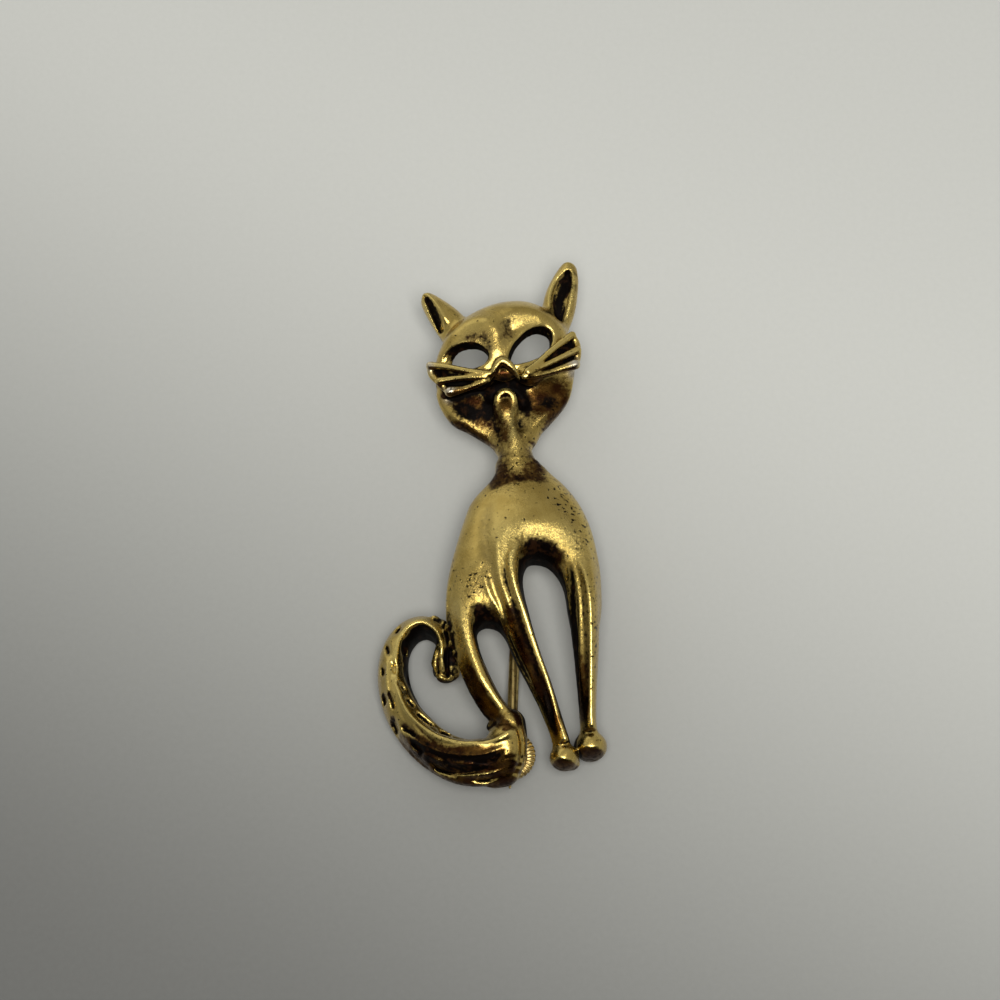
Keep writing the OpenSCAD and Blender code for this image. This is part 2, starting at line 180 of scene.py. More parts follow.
HIND_GAP = [
    (-1.6, -13.8), (0.4, -13.6), (2.4, -16.0), (5.6, -24.0), (5.0, -26.5), (3.2, -24.2), (1.0, -20.6),
    (-1.0, -16.2),
]


# Shares in percent of the width, the length and the relief, as mm
def px(s):
    return s * BROOCH_W / 100


def py(s):
    return (s - MIDDLE_Y) * BROOCH_L / 100


def pz(s):
    return (1 + min(s, 0) / 100) * (BACK_Z + PAD_H) + max(s, 0) * RELIEF_H / 100


def in_mm(rows):
    return np.array([(px(r[0]), py(r[1]), px(r[2]) / 2, pz(r[3]), pz(r[4])) for r in rows])


def smooth_curve(rows, steps=5, closed=False):
    """A Catmull-Rom curve through the rows, with every column smoothed alike."""
    rows = np.asarray(rows, float)
    n = len(rows)
    out = []
    for i in range(n if closed else n - 1):
        near = (i - 1, i, i + 1, i + 2)
        a, b, c, d = (rows[k % n if closed else min(max(k, 0), n - 1)] for k in near)
        for k in range(steps):
            t = k / steps
            out.append(0.5 * (2 * b + (c - a) * t + (2 * a - 5 * b + 4 * c - d) * t * t
                              + (3 * b - a - 3 * c + d) * t ** 3))
    if not closed:
        out.append(rows[-1])
    return np.array(out)


# The field: the distance in mm to the casting's surface, on a grid, negative inside.
STEP = 0.14
LOW = np.array((-13.4, -32.0, -0.56))
HIGH = np.array((13.4, 32.1, 12.2))
AXES = [np.arange(LOW[i], HIGH[i], STEP) for i in range(3)]
FAR = 4.0
FIELD = np.full([len(a) for a in AXES], FAR, np.float32)


class Window:
    """The part of the grid that lies in a box on the XY plane."""

    def __init__(self, low, high, pad):
        self.cut = []
        for i in range(2):
            a, b = np.searchsorted(AXES[i], (low[i] - pad, high[i] + pad))
            self.cut.append(slice(int(a), int(max(b, a + 3))))
        self.x, self.y = np.meshgrid(AXES[0][self.cut[0]], AXES[1][self.cut[1]], indexing="ij")
        self.z = AXES[2][None, None, :]

    def get(self):
        return FIELD[self.cut[0], self.cut[1], :]

    def put(self, values):
        FIELD[self.cut[0], self.cut[1], :] = values


def around(points, pad):
    points = np.asarray(points, float)[:, :2]
    return Window(points.min(0), points.max(0), pad)


def step_up(a, b, x):
    t = np.clip((x - a) / (b - a), 0, 1)
    return t * t * (3 - 2 * t)


def smooth_min(a, b, k):
    h = np.maximum(k - np.abs(a - b), 0) / k
    return np.minimum(a, b) - h * h * k / 4


def as_distance(f):
    slope = np.gradient(f, STEP)
    size = np.sqrt(slope[0] ** 2 + slope[1] ** 2 + slope[2] ** 2)
    return np.clip(f / np.maximum(size, 0.03), -FAR, FAR)


def join(win, f, k):
    win.put(smooth_min(win.get(), f, k))


def carve(win, f, k):
    win.put(-smooth_min(-win.get(), f, k))


def nearest(curve, x, y):
    """The distance to a curve, how far aside of it and past its end a point lies, the curve's
    row there, and the length along it."""
    a = curve[:-1, :2]
    d = curve[1:, :2] - a
    size = np.sqrt((d ** 2).sum(1))
    d = d / size[:, None]
    length = np.concatenate(([0], np.cumsum(size)))
    p = np.stack((x.ravel(), y.ravel()), 1)
    t = np.clip(((p[:, None] - a[None]) * d[None]).sum(2), 0, size)
    gap = p[:, None] - a[None] - t[..., None] * d[None]
    square = (gap ** 2).sum(2)
    j = square.argmin(1)
    every = np.arange(len(p))
    t = t[every, j]
    gap = gap[every, j]
    row = curve[j] + (t / size[j])[:, None] * (curve[j + 1] - curve[j])
    aside = d[j, 1] * gap[:, 0] - d[j, 0] * gap[:, 1]
    s = length[j] + t
    to_end = np.minimum(s, length[-1] - s)
    past = np.where(to_end <= 0, np.abs((gap * d[j]).sum(1)), -to_end)
    away = np.sqrt(square[every, j])
    return tuple(v.reshape(x.shape) for v in (away, aside, past)) + (
        row.reshape(x.shape + (-1,)), s.reshape(x.shape))


def section(u, half, low, high, z):
    """A round crest over a flatter back, as in the part's source."""
    middle = low + WIDEST * (high - low)
    t = z - middle[..., None]
    up = (high - middle)[..., None]
    down = (middle - low)[..., None]
    q = np.where(t > 0, (t / up) ** 2, (t / down) ** 4)
    return np.sqrt((u / half)[..., None] ** 2 + q) - 1


def limb(rows, k, skew=(0.0,), cap=0.5):
    """A limb along its rows. skew moves its crest to one side, in half widths, from start to end."""
    curve = smooth_curve(in_mm(rows), LIMB_STEPS)
    half = curve[:, 2].max()
    win = around(curve, half + 1.6)
    away, u, past, row, s = nearest(curve, win.x, win.y)
    half = row[..., 2]
    lean = np.interp(s / s.max(), np.linspace(0, 1, len(skew)), skew)
    crest = lean * half * np.clip(1 - (u / half) ** 2, 0, 1)
    f = as_distance(section(u - crest, half, row[..., 3], row[..., 4], win.z))
    join(win, cut_end(f, past, cap), k)
    return win, u, row, s


def cut_end(f, past, cap):
    """Ends a form at its last row, with a rounded edge."""
    return -smooth_min(-f, -past[..., None], cap)


def turned_field(rows, win, turn):
    """A form whose sections all stand at one angle."""
    curve = smooth_curve(in_mm(rows), LIMB_STEPS)
    c, s = math.cos(math.radians(turn)), math.sin(math.radians(turn))
    along = -curve[:, 0] * s + curve[:, 1] * c
    order = np.argsort(along)
    along, curve = along[order], curve[order]
    v = -win.x * s + win.y * c
    row = np.stack([np.interp(v, along, curve[:, i]) for i in range(curve.shape[1])], -1)
    u = (win.x - row[..., 0]) * c + (win.y - row[..., 1]) * s
    past = np.maximum(along[0] - v, v - along[-1])
    side = curve[:, 2:3] * (c, s)
    plan = np.vstack((curve[:, :2] - side, (curve[:, :2] + side)[::-1]))
    edge = polygon_distance(plan, win.x, win.y)
    f = as_distance(section(u, row[..., 2], row[..., 3], row[..., 4], win.z))
    return cut_end(np.maximum(f, edge[..., None]), past, 0.6)


def hollow_under(f, wall):
    """The space under a skin, open at the back: all that lies below a point deep in it."""
    return np.minimum.accumulate(f[:, :, ::-1], axis=2)[:, :, ::-1] + wall


def turned_window(rows):
    curve = in_mm(rows)
    return around(curve, curve[:, 2].max() * 1.1 + 1.6)


def polygon_distance(points, x, y):
    """Distance in the plane to a closed outline, negative inside it."""
    outline = np.vstack((points, points[:1]))
    best = nearest(outline, x, y)[0]
    inside = np.zeros(x.shape, bool)
    for (x0, y0), (x1, y1) in zip(outline[:-1, :2], outline[1:, :2]):
        if y0 == y1:
            continue
        hit = ((y0 > y) != (y1 > y)) & (x < (x1 - x0) * (y - y0) / (y1 - y0) + x0)
        inside ^= hit
    return np.where(inside, -best, best)


def outline_mm(shares):
    return smooth_curve([(px(a), py(b)) for a, b in shares], closed=True)


def cut_arch(shares, grow, k):
    """Cuts an arch that flares from its foot outward as it comes up to the front."""
    outline = outline_mm(shares)
    foot = np.array(((px(shares[0][0]) + px(shares[-1][0])) / 2, py(shares[0][1])))
    wide = outline + grow * (outline - foot)
    win = around(wide, 2 + k)
    low = polygon_distance(outline, win.x, win.y)[..., None]
    high = polygon_distance(wide, win.x, win.y)[..., None]
    t = np.clip((win.z - pz(20)) / (pz(110) - pz(20)), 0, 1)
    carve(win, low + t * (high - low), k)


def front_only(z, level):
    return step_up(level - 0.5, level + 0.5, z)


def line(points, height, width, level, fade):
    """Raises a soft ridge along a line on the front, or presses a groove where height < 0."""
    curve = smooth_curve(points)
    win = around(curve, 3 * width + 0.5)
    u, _, _, _, s = nearest(curve, win.x, win.y)
    ends = np.clip(np.minimum(s, s.max() - s) / fade, 0, 1)
    bump = height * (0.15 + 0.85 * ends) * np.exp(-(u / width) ** 2)
    win.put(win.get() - bump[..., None] * front_only(win.z, level))


def patch(dx, dy, rx, ry, turn):
    """A soft oval with two half sizes, at its full strength in the middle."""
    c, s = math.cos(math.radians(turn)), math.sin(math.radians(turn))
    a = (dx * c + dy * s) / rx
    b = (-dx * s + dy * c) / ry
    return np.exp(-(a * a + b * b))


def spot(x, y, rx, ry, height, turn=0.0, level=5.0):
    """Raises or presses a soft round patch on the front."""
    reach = 2.4 * max(rx, ry)
    win = Window((x - reach, y - reach), (x + reach, y + reach), 0.2)
    bump = height * patch(win.x - x, win.y - y, rx, ry, turn)
    win.put(win.get() - bump[..., None] * front_only(win.z, level))


def dish(points, depth, soft, level):
    """Presses the front in inside an outline, with walls that are soft mm wide."""
    outline = smooth_curve(points, closed=True)
    win = around(outline, soft + 0.4)
    d = polygon_distance(outline, win.x, win.y)
    press = depth * step_up(soft / 2, -soft / 2, d)
    win.put(win.get() + press[..., None] * front_only(win.z, level))


def tube(places, radii, k):
    """A round bar along a smooth line in space."""
    curve = smooth_curve([(*p, r) for p, r in zip(places, radii)])
    win = around(curve, max(radii) + 1.0)
    best = np.full(win.get().shape, FAR)
    for a, b in zip(curve[:-1], curve[1:]):
        d = b - a
        gap = (win.x[..., None] - a[0], win.y[..., None] - a[1], win.z - a[2])
        t = np.clip((gap[0] * d[0] + gap[1] * d[1] + gap[2] * d[2]) / (d[:3] @ d[:3]), 0, 1)
        away = np.sqrt(sum((gap[i] - t * d[i]) ** 2 for i in range(3)))
        best = np.minimum(best, away - a[3] - t * d[3])
    join(win, best, k)


def ball(x, y, z, rx, ry, rz, k):
    reach = max(rx, ry) + 1.2
    win = Window((x - reach, y - reach), (x + reach, y + reach), 0.2)
    f = np.sqrt(((win.x[..., None] - x) / rx) ** 2 + ((win.y[..., None] - y) / ry) ** 2
                + ((win.z - z) / rz) ** 2) - 1
    join(win, as_distance(f), k)


def make_body():
    win = around(in_mm(TORSO), 10)
    join(win, turned_field(TORSO, win, 0), 0.1)
    cut_arch(ARCH, 0.22, 4.2)
    cut_arch(CROTCH, 0.2, 1.6)
    carve(win, hollow_under(win.get(), SHELL_WALL), 0.3)
    limb(NECK, 1.6, cap=1.4)
    for shoulder in (RIGHT_SHOULDER, LEFT_SHOULDER):
        win = around(np.array(shoulder), 1.5)
        carve(win, polygon_distance(np.array(shoulder), win.x, win.y)[..., None], 0.5)
    limb(LEFT_FRONT_LEG, 0.9, skew=(-0.45,))
    limb(RIGHT_FRONT_LEG, 0.9, skew=(-0.35,))
    limb(HIND_LEG, 0.9, skew=(-0.45,))
    ball(8.0, -27.55, 4.2, 1.62, 1.45, 2.3, 0.5)
    ball(9.0, -28.0, 3.3, 0.75, 0.6, 1.2, 0.3)
    ball(10.95, -26.0, 2.95, 1.85, 1.6, 2.9, 0.5)
    limb(TAIL_ROOT, 0.5, cap=1.2)
    return limb(TAIL, 0.35, skew=(0.4, 0.3, 0.1, -0.1, -0.1, 0.2, 0.35, 0.35), cap=0.9)


def detail_body():
    # The soft valleys that set the chest apart from the back and from the flank
    line([(-0.2, 1.2), (-0.6, -1.2), (-0.8, -3.6), (-0.4, -6.9), (0.2, -10.2), (1.2, -13.4)],
         -0.3, 0.75, 6, 3.0)
    line([(5.4, 2.6), (7.4, 0.6), (9.0, -2.0), (10.0, -5.5), (10.5, -9.0)], -0.16, 0.9, 6, 3.0)
    # The ridges that run from the chest down the left front leg
    line([(0.9, -3.0), (0.7, -5.6), (0.95, -8.4), (1.7, -11.0), (2.4, -13.2)], 0.26, 0.5, 6.5, 2.0)
    line([(3.1, -4.8), (2.0, -6.4), (2.2, -8.2), (2.8, -10.2), (3.8, -12.6), (4.7, -15.2), (5.5, -17.5),
          (6.7, -21.4), (7.3, -24.6)], 0.26, 0.4, 5.5, 2.0)
    line([(1.5, -6.6), (1.4, -8.6), (2.1, -10.8), (3.1, -13.6), (4.3, -16.6), (5.6, -20.6), (6.5, -24.0)],
         -0.2, 0.4, 5.5, 2.5)
    line([(-0.9, -8.0), (-0.3, -10.0), (0.7, -12.0), (1.9, -14.4), (3.0, -16.8), (4.1, -18.9), (5.1, -21.6)],
         0.2, 0.35, 5.0, 2.0)
    # The right front leg
    line([(9.4, -5.6), (10.2, -7.8), (10.7, -10.2), (10.95, -13.2), (10.95, -20.0)], 0.22, 0.4, 5.5, 2.0)
    line([(9.5, -7.6), (10.0, -10.0), (10.25, -13.5), (10.35, -17.3), (10.5, -23.0)], -0.18, 0.35, 5.5, 2.0)
    line([(8.9, -6.4), (9.4, -8.6), (9.65, -11.0), (9.7, -14.0), (9.75, -20.0)], 0.14, 0.25, 5.5, 2.0)
    # The raised middle of the throat
    line([(2.2, 11.6), (2.45, 9.8), (2.6, 8.0)], 0.28, 0.55, 5.0, 1.4)
    # The toes
    line([(9.3, -26.4), (10.8, -26.8), (12.4, -26.6)], 0.22, 0.4, 3.0, 0.6)
    line([(6.8, -27.8), (8.0, -28.3), (9.4, -28.5)], 0.18, 0.35, 2.5, 0.5)
    # Dimples and bumps of the hip and the hind leg
    spot(-2.3, -9.2, 1.1, 1.3, -0.22, 20)
    spot(-1.2, -7.6, 0.5, 0.7, -0.1)
    line([(-3.6, -10.6), (-3.5, -13.0), (-2.9, -15.6), (-1.9, -18.6), (-0.4, -21.6)], 0.2, 0.45, 5.5, 2.0)
    for x, y, z in ((0.7, -23.9, 6.0), (1.6, -23.8, 6.5), (2.5, -24.2, 6.3)):
        ball(x, y, z, 0.7, 0.6, 0.6, 0.5)
    line([(-0.4, -23.6), (0.6, -24.6), (1.8, -24.8), (2.9, -25.2)], -0.2, 0.3, 4.5, 0.6)
    for x, y, z in ((0.0, -24.3, 5.0), (0.5, -24.8, 5.6)):
        ball(x, y, z, 0.6, 0.5, 0.8, 0.5)


def detail_tail(win, u, row, s):
    """Flowing hair on the tail, in its own length s and width u."""
    across = u / row[..., 2]
    z = win.z
    top = (row[..., 3] + WIDEST * (row[..., 4] - row[..., 3]))[..., None]
    gate = step_up(top - 0.8, top + 0.2, z)
    press = np.zeros_like(u)
    # Each lock of hair: its place across the tail, depth, width, pace and start of its waves
    hair = [
        (-0.9, 0.4, 0.22, 0.75, 0.4), (-0.66, 0.42, 0.24, 0.9, 1.4), (-0.42, 0.42, 0.26, 0.7, 2.6),
        (-0.16, 0.22, 0.2, 0.55, 4.1), (0.5, 0.16, 0.2, 0.6, 0.8), (0.76, 0.2, 0.22, 0.5, 2.2),
    ]
    for place, depth, width, pace, phase in hair:
        wave = place + 0.09 * np.sin(s * pace * 0.6 + phase)
        grow = 0.2 + 0.8 * np.clip(np.sin(s * pace + 2 * phase) + 0.35, 0, 1)
        fade = np.clip(s / 1.5, 0.3, 1) * np.clip((14 - s) / 5, 0, 1)
        press += depth * grow * fade * np.exp(-(((across - wave) * row[..., 2]) / width) ** 2)
    win.put(win.get() + press[..., None] * gate)
    crest = [(-6.5, -16.9), (-5.7, -15.9), (-5.6, -14.9), (-6.2, -13.5), (-7.7, -12.4), (-9.2, -12.9),
             (-10.2, -14.4), (-10.6, -16.4), (-10.6, -18.6), (-10.1, -20.9), (-8.9, -23.5), (-6.6, -25.6),
             (-4.1, -26.6), (-0.9, -27.0), (1.2, -26.5), (2.6, -25.5)]
    line(crest, 0.4, 0.4, 3.6, 1.0)
    # A rough dark mass lies between the curl and the hind leg.
    tube([(-6.2, -12.0, 4.4), (-5.1, -12.9, 4.3), (-4.6, -14.3, 4.2), (-4.5, -15.8, 4.1), (-4.5, -17.0, 3.9)],
         (0.55, 0.7, 0.75, 0.8, 0.8), 0.4)
    # Rough beads where the curl meets the hind leg
    for x, y, wide, tall, height in (
            (-6.5, -11.5, 0.36, 0.26, 0.42), (-5.5, -12.2, 0.25, 0.34, 0.3), (-5.1, -13.3, 0.4, 0.3, 0.4),
            (-4.5, -14.0, 0.24, 0.3, 0.25), (-4.7, -15.2, 0.3, 0.42, 0.36), (-4.2, -16.2, 0.26, 0.26, 0.3)):
        spot(x, y, wide, tall, height, 0, 3.5)
    for lock in ([(-9.9, -24.4), (-7.7, -26.6), (-4.6, -28.0), (-1.2, -28.3), (1.2, -27.6)],
                 [(-9.2, -26.2), (-6.6, -28.1), (-3.4, -29.1), (0.2, -29.2)],
                 [(-5.4, -29.4), (-2.0, -30.3), (1.4, -29.8)],
                 [(-11.7, -17.0), (-11.6, -20.0), (-10.9, -22.8)],
                 [(-10.4, -20.6), (-9.4, -23.0), (-7.4, -25.2)]):
        line(lock, 0.2, 0.17, 2.2, 1.2)
    for a, b in TAIL_DASHES:
        middle = ((a[0] + b[0]) / 2 + 0.08, (a[1] + b[1]) / 2)
        line([a, middle, b], -0.5, 0.25, 2.5, 0.5)
    # Hair round the tail's thick end
    for fan in ([(2.7, -25.0), (3.2, -26.6), (3.1, -28.6), (2.3, -30.2)],
                [(-2.0, -30.0), (-4.2, -29.7), (-6.4, -28.8)],
                [(1.6, -27.9), (0.0, -29.0), (-2.4, -29.2)]):
        line(fan, -0.22, 0.2, 2.0, 0.8)
    # The tip opens into a few folded locks
    tube([(-5.4, -14.6, 4.6), (-5.8, -15.8, 4.7), (-6.4, -16.8, 4.4)], (0.75, 0.7, 0.4), 0.4)
    tube([(-5.0, -15.2, 4.2), (-5.3, -16.8, 4.3), (-5.4, -17.9, 3.9)], (0.9, 0.95, 0.8), 0.6)
    tube([(-4.7, -15.6, 4.0), (-4.5, -17.0, 4.1), (-4.4, -17.8, 3.7)], (0.8, 0.85, 0.75), 0.6)
    line([(-5.9, -15.6), (-6.0, -16.9), (-5.9, -18.2)], -0.4, 0.2, 3.0, 0.4)
    line([(-5.0, -15.4), (-5.0, -16.9), (-4.9, -18.6)], -0.4, 0.22, 3.0, 0.4)
    line([(-6.2, -18.2), (-5.3, -18.7), (-4.3, -18.5)], 0.35, 0.25, 2.5, 0.4)


def eye_opening(shares, shrink, shift):
    """Cuts an eye through the skin, with walls that lean in toward the back."""
    outline = outline_mm(shares)
    win = around(outline, 2.4)
    middle = outline.mean(0)
    inner = middle + (outline - middle) * shrink + shift
    wide = polygon_distance(outline, win.x, win.y)[..., None]
    deep = polygon_distance(inner, win.x, win.y)[..., None]
    solid = win.get() < 0
    skin = AXES[2][solid.shape[2] - 1 - solid[:, :, ::-1].argmax(axis=2)]
    t = np.clip((skin[..., None] - 0.25 - win.z) / SHELL_WALL, 0, 1)
    carve(win, wide + t * (deep - wide), 0.45)


def plate_outline(ribs):
    return np.array([p[:2] for p in ribs[0]] + [p[:2] for p in ribs[-1][::-1]])


def rib_level(ribs, x, y):
    root, tip = np.array(ribs[1][0]), np.array(ribs[1][-1])
    run = tip - root
    t = ((x - root[0]) * run[0] + (y - root[1]) * run[1]) / (run[:2] @ run[:2])
    return root[2] + np.clip(t, 0, 1) * run[2]


def whisker_plate(ribs, edge, web_drop=0.85, web_half=0.35):
    """Raised ribs that fan out over a thin sunk web, joined by an outer edge."""
    outline = plate_outline(ribs)
    win = around(outline, 1.2)
    d = polygon_distance(outline, win.x, win.y)
    above = win.z - rib_level(ribs, win.x, win.y)[..., None] + web_drop
    join(win, np.maximum(d[..., None], np.abs(above) - web_half), 0.15)
    for i, rib in enumerate(ribs):
        end = 0.62 if i == len(ribs) - 1 else 0.46
        tube(rib, (0.4, 0.37, 0.38, end), 0.12)
    tube(edge, (0.4,) * len(edge), 0.15)


def make_head():
    jaw = turned_window(JAW)
    join(jaw, turned_field(JAW, jaw, HEAD_TURN), 0.8)
    dish(JAW_DISH, 0.75, 2.0, 5.2)
    head = turned_window(SKULL)
    join(head, turned_field(SKULL, head, HEAD_TURN), 0.25)
    # The bridge of the nose, the brows and the hollows between them
    line([(0.4, 22.0), (0.6, 19.8), (0.7, 18.4), (1.0, 17.0)], 0.12, 0.8, 8, 1.0)
    spot(-1.7, 19.8, 2.0, 1.3, -0.32, 5, 7.5)
    spot(1.9, 20.9, 1.0, 1.6, -0.34, -12, 7.5)
    line([(-5.6, 19.8), (-4.1, 21.5), (-2.3, 22.3), (-0.7, 21.9), (0.2, 20.7)], 0.3, 0.9, 7.5, 1.5)
    line([(1.0, 22.8), (2.4, 23.6), (4.4, 23.7), (6.9, 22.5)], 0.22, 0.9, 7.5, 1.5)
    line([(1.7, 20.2), (3.2, 21.3), (5.2, 21.9), (7.0, 21.3)], -0.42, 1.0, 7.5, 1.0)
    back = -head.x * math.sin(math.radians(HEAD_TURN)) + head.y * math.cos(math.radians(HEAD_TURN))
    hollow = np.maximum(hollow_under(head.get(), SHELL_WALL), (HOLLOW_FROM - back)[..., None])
    carve(head, hollow, 0.3)
    eye_opening(LEFT_EYE, 0.76, (0.75, -0.1))
    eye_opening(RIGHT_EYE, 0.84, (-0.1, -0.4))
    # Muzzle and nose
    ball(-1.2, 15.7, 8.7, 1.6, 1.1, 1.3, 0.7)
    ball(4.2, 16.1, 8.8, 1.6, 1.1, 1.3, 0.7)
    ball(1.4, 15.75, 9.55, 1.5, 1.2, 0.95, 0.3)
    tube([(-0.3, 14.95, 9.7), (0.2, 16.0, 10.35), (0.75, 16.9, 10.7), (1.3, 17.15, 10.8), (1.95, 16.7, 10.65),
          (2.6, 15.9, 10.3), (3.2, 15.05, 9.7)], (0.38, 0.42, 0.5, 0.55, 0.5, 0.42, 0.4), 0.2)
    whisker_plate(LEFT_WHISKERS, [(-7.1, 17.3, 8.7), (-6.9, 16.4, 8.5), (-6.1, 15.5, 8.5), (-5.4, 14.8, 8.4),
                                  (-4.8, 14.2, 8.5)])
    whisker_plate(RIGHT_WHISKERS, [(9.2, 21.0, 9.0), (9.7, 20.2, 8.8), (9.85, 19.2, 8.8), (9.75, 18.2, 8.7),
                                   (9.5, 17.5, 8.8)])
    # Mouth, chin and throat
    line([(-0.1, 13.2), (0.0, 14.4), (0.7, 15.0), (1.7, 15.2), (2.8, 14.8), (3.5, 13.9), (3.7, 12.5)],
         -0.6, 0.7, 4.5, 0.8)
    ball(1.6, 13.0, 7.25, 1.15, 1.5, 0.9, 0.3)
    tube([(0.75, 12.4, 7.2), (0.6, 13.1, 7.6), (0.75, 13.9, 7.9), (1.15, 14.35, 8.05), (1.7, 14.45, 8.1),
          (2.25, 14.1, 8.0), (2.5, 13.3, 7.7), (2.5, 12.5, 7.2)],
         (0.4, 0.42, 0.45, 0.46, 0.46, 0.46, 0.44, 0.4), 0.35)
    tube([(1.6, 12.3, 7.0), (1.75, 11.0, 6.95), (2.2, 9.4, 6.95), (2.6, 7.6, 7.1), (2.8, 6.0, 7.2)],
         (1.05, 0.9, 0.75, 0.75, 0.6), 0.8)
    # Ears
    limb(RIGHT_EAR, 1.0)
    limb(LEFT_EAR, 1.0)
    dish([(6.9, 26.4), (7.4, 28.3), (8.4, 29.6), (9.0, 29.8), (9.2, 28.8), (8.9, 26.5), (8.4, 24.4),
          (7.9, 23.6), (7.2, 24.4)], 0.75, 0.7, 5.4)
    dish([(-7.9, 26.8), (-7.2, 26.1), (-6.4, 24.6), (-5.6, 22.8), (-6.0, 22.5), (-6.8, 23.9), (-7.6, 25.7)],
         0.45, 0.4, 5.6)
    line([(-7.3, 26.7), (-6.4, 25.4), (-5.7, 24.1), (-5.1, 22.9)], 0.2, 0.3, 5.6, 0.8)


def surface(field, low, step):
    """Surface nets: one vertex for each cell that the surface crosses, joined by quads."""
    inside = field < 0
    corners = [(i, j, k) for i in (0, 1) for j in (0, 1) for k in (0, 1)]
    nx, ny, nz = (n - 1 for n in field.shape)
    count = np.zeros((nx, ny, nz), np.int8)
    for i, j, k in corners:
        count += inside[i:i + nx, j:j + ny, k:k + nz]
    cells = np.argwhere((count > 0) & (count < 8))
    number = np.full((nx, ny, nz), -1, np.int32)
    number[tuple(cells.T)] = np.arange(len(cells))
    values = {c: field[tuple((cells + c).T)] for c in corners}
    total = np.zeros((len(cells), 3))
    hits = np.zeros(len(cells))
    for axis in range(3):
        for c in corners:
            if c[axis]:
                continue
            d = tuple(v + (m == axis) for m, v in enumerate(c))
            a, b = values[c], values[d]
            cross = (a < 0) != (b < 0)
            t = np.where(cross, a / np.where(cross, a - b, 1), 0)
            point = np.array(c)[None] + np.eye(3)[axis][None] * t[:, None]
            total += point * cross[:, None]
            hits += cross
    points = (cells + total / hits[:, None]) * step + low
    faces = []
    for axis in range(3):
        p, q = (axis + 1) % 3, (axis + 2) % 3
        edge = np.argwhere(np.diff(inside, axis=axis))
        for side in (p, q):
            edge = edge[(edge[:, side] > 0) & (edge[:, side] < field.shape[side] - 1)]
        out = inside[tuple(edge.T)]
        ring = []
        for dp, dq in ((0, 0), (1, 0), (1, 1), (0, 1)):
            cell = edge.copy()
            cell[:, p] -= dp
            cell[:, q] -= dq
            ring.append(number[tuple(cell.T)])
        quad = np.stack(ring, 1)
        quad[~out] = quad[~out][:, ::-1]
        faces.append(quad)
    return points, np.vstack(faces)


def relax(points, faces, rounds, amount=0.5, swell=1.04):
    """Smooths a mesh and then swells it back, so that it keeps its size."""
    pairs = np.vstack([faces[:, (i, (i + 1) % 4)] for i in range(4)])
    a = np.concatenate((pairs[:, 0], pairs[:, 1]))
    b = np.concatenate((pairs[:, 1], pairs[:, 0]))
    near = np.bincount(a, minlength=len(points))[:, None]
    for i in range(2 * rounds):
        mean = np.stack([np.bincount(a, points[b, k], len(points)) for k in range(3)], 1) / near
        points = points + (amount if i % 2 == 0 else -amount * swell) * (mean - points)
    return points


def mesh_object(name, points, faces):
    mesh = bpy.data.meshes.new(name)
    mesh.vertices.add(len(points))
    mesh.vertices.foreach_set("co", (np.asarray(points) * MM).astype(np.float32).ravel())
    sides = faces.shape[1]
    mesh.loops.add(faces.size)
    mesh.loops.foreach_set("vertex_index", faces.astype(np.int32).ravel())
    mesh.polygons.add(len(faces))
    mesh.polygons.foreach_set("loop_start", np.arange(0, faces.size, sides, dtype=np.int32))
    mesh.update(calc_edges=True)
    mesh.validate()
    obj = bpy.data.objects.new(name, mesh)
    bpy.context.scene.collection.objects.link(obj)
    return obj


def blurred_solid(radius):
    """How solid the neighbourhood of each grid point is: over a half in a recess."""
    solid = np.clip(0.5 - FIELD / STEP, 0, 1)
    n = max(1, int(round(radius / STEP)))
    for _ in range(2):
        for axis in range(3):
            total = np.cumsum(solid, axis=axis, dtype=np.float64)
            total = np.insert(total, 0, 0, axis=axis)
            size = solid.shape[axis]
            top = np.minimum(np.arange(size) + n + 1, size)
            low = np.maximum(np.arange(size) - n, 0)
            solid = ((np.take(total, top, axis) - np.take(total, low, axis)) / (2 * n + 1)).astype(np.float32)
    return solid


def sample(grid, points):
    """The grid's values at points, in a straight line between grid points."""
    at = (points - LOW) / STEP
    base = np.clip(np.floor(at).astype(int), 0, np.array(grid.shape) - 2)
    t = np.clip(at - base, 0, 1)
    out = 0
    for i in (0, 1):
        for j in (0, 1):
            for k in (0, 1):
                weight = (t[:, 0] if i else 1 - t[:, 0]) * (t[:, 1] if j else 1 - t[:, 1])
                weight = weight * (t[:, 2] if k else 1 - t[:, 2])
                out = out + weight * grid[base[:, 0] + i, base[:, 1] + j, base[:, 2] + k]
    return out


tail_parts = make_body()
make_head()
detail_body()
detail_tail(*tail_parts)

points, faces = surface(FIELD, LOW, STEP)
points = relax(points, faces, 2)
SIDE_INSET = 0.01
TOP_INSET = 0.06
MOST_TRIANGLES = 190000
points[:, 0] = np.clip(points[:, 0], cad_box[0][0] / MM + SIDE_INSET, cad_box[1][0] / MM - SIDE_INSET)
points[:, 2] = np.clip(points[:, 2], 0, BACK_Z + PAD_H + RELIEF_H - TOP_INSET)
cat = mesh_object("cat", points, faces)
shrink = cat.modifiers.new("Decimate", "DECIMATE")
shrink.ratio = min(1.0, MOST_TRIANGLES / (2 * len(faces)))
depsgraph = bpy.context.evaluated_depsgraph_get()
lighter = bpy.data.meshes.new_from_object(cat.evaluated_get(depsgraph))
cat.modifiers.clear()
cat.data = lighter
cat.data.name = "cat"
for polygon in cat.data.polygons:
    polygon.use_smooth = True


def vertex_values(what):
    out = np.empty(len(cat.data.vertices) * 3, np.float32)
    cat.data.vertices.foreach_get(what, out)
    return out.reshape(-1, 3).astype(float)


spots = vertex_values("co") / MM
spot_x, spot_y, spot_z = spots.T
normals = vertex_values("normal")
fine = sample(blurred_solid(0.3), spots) - 0.5
broad = sample(blurred_solid(1.1), spots) - 0.5
front = step_up(-0.2, 0.5, normals[:, 2])


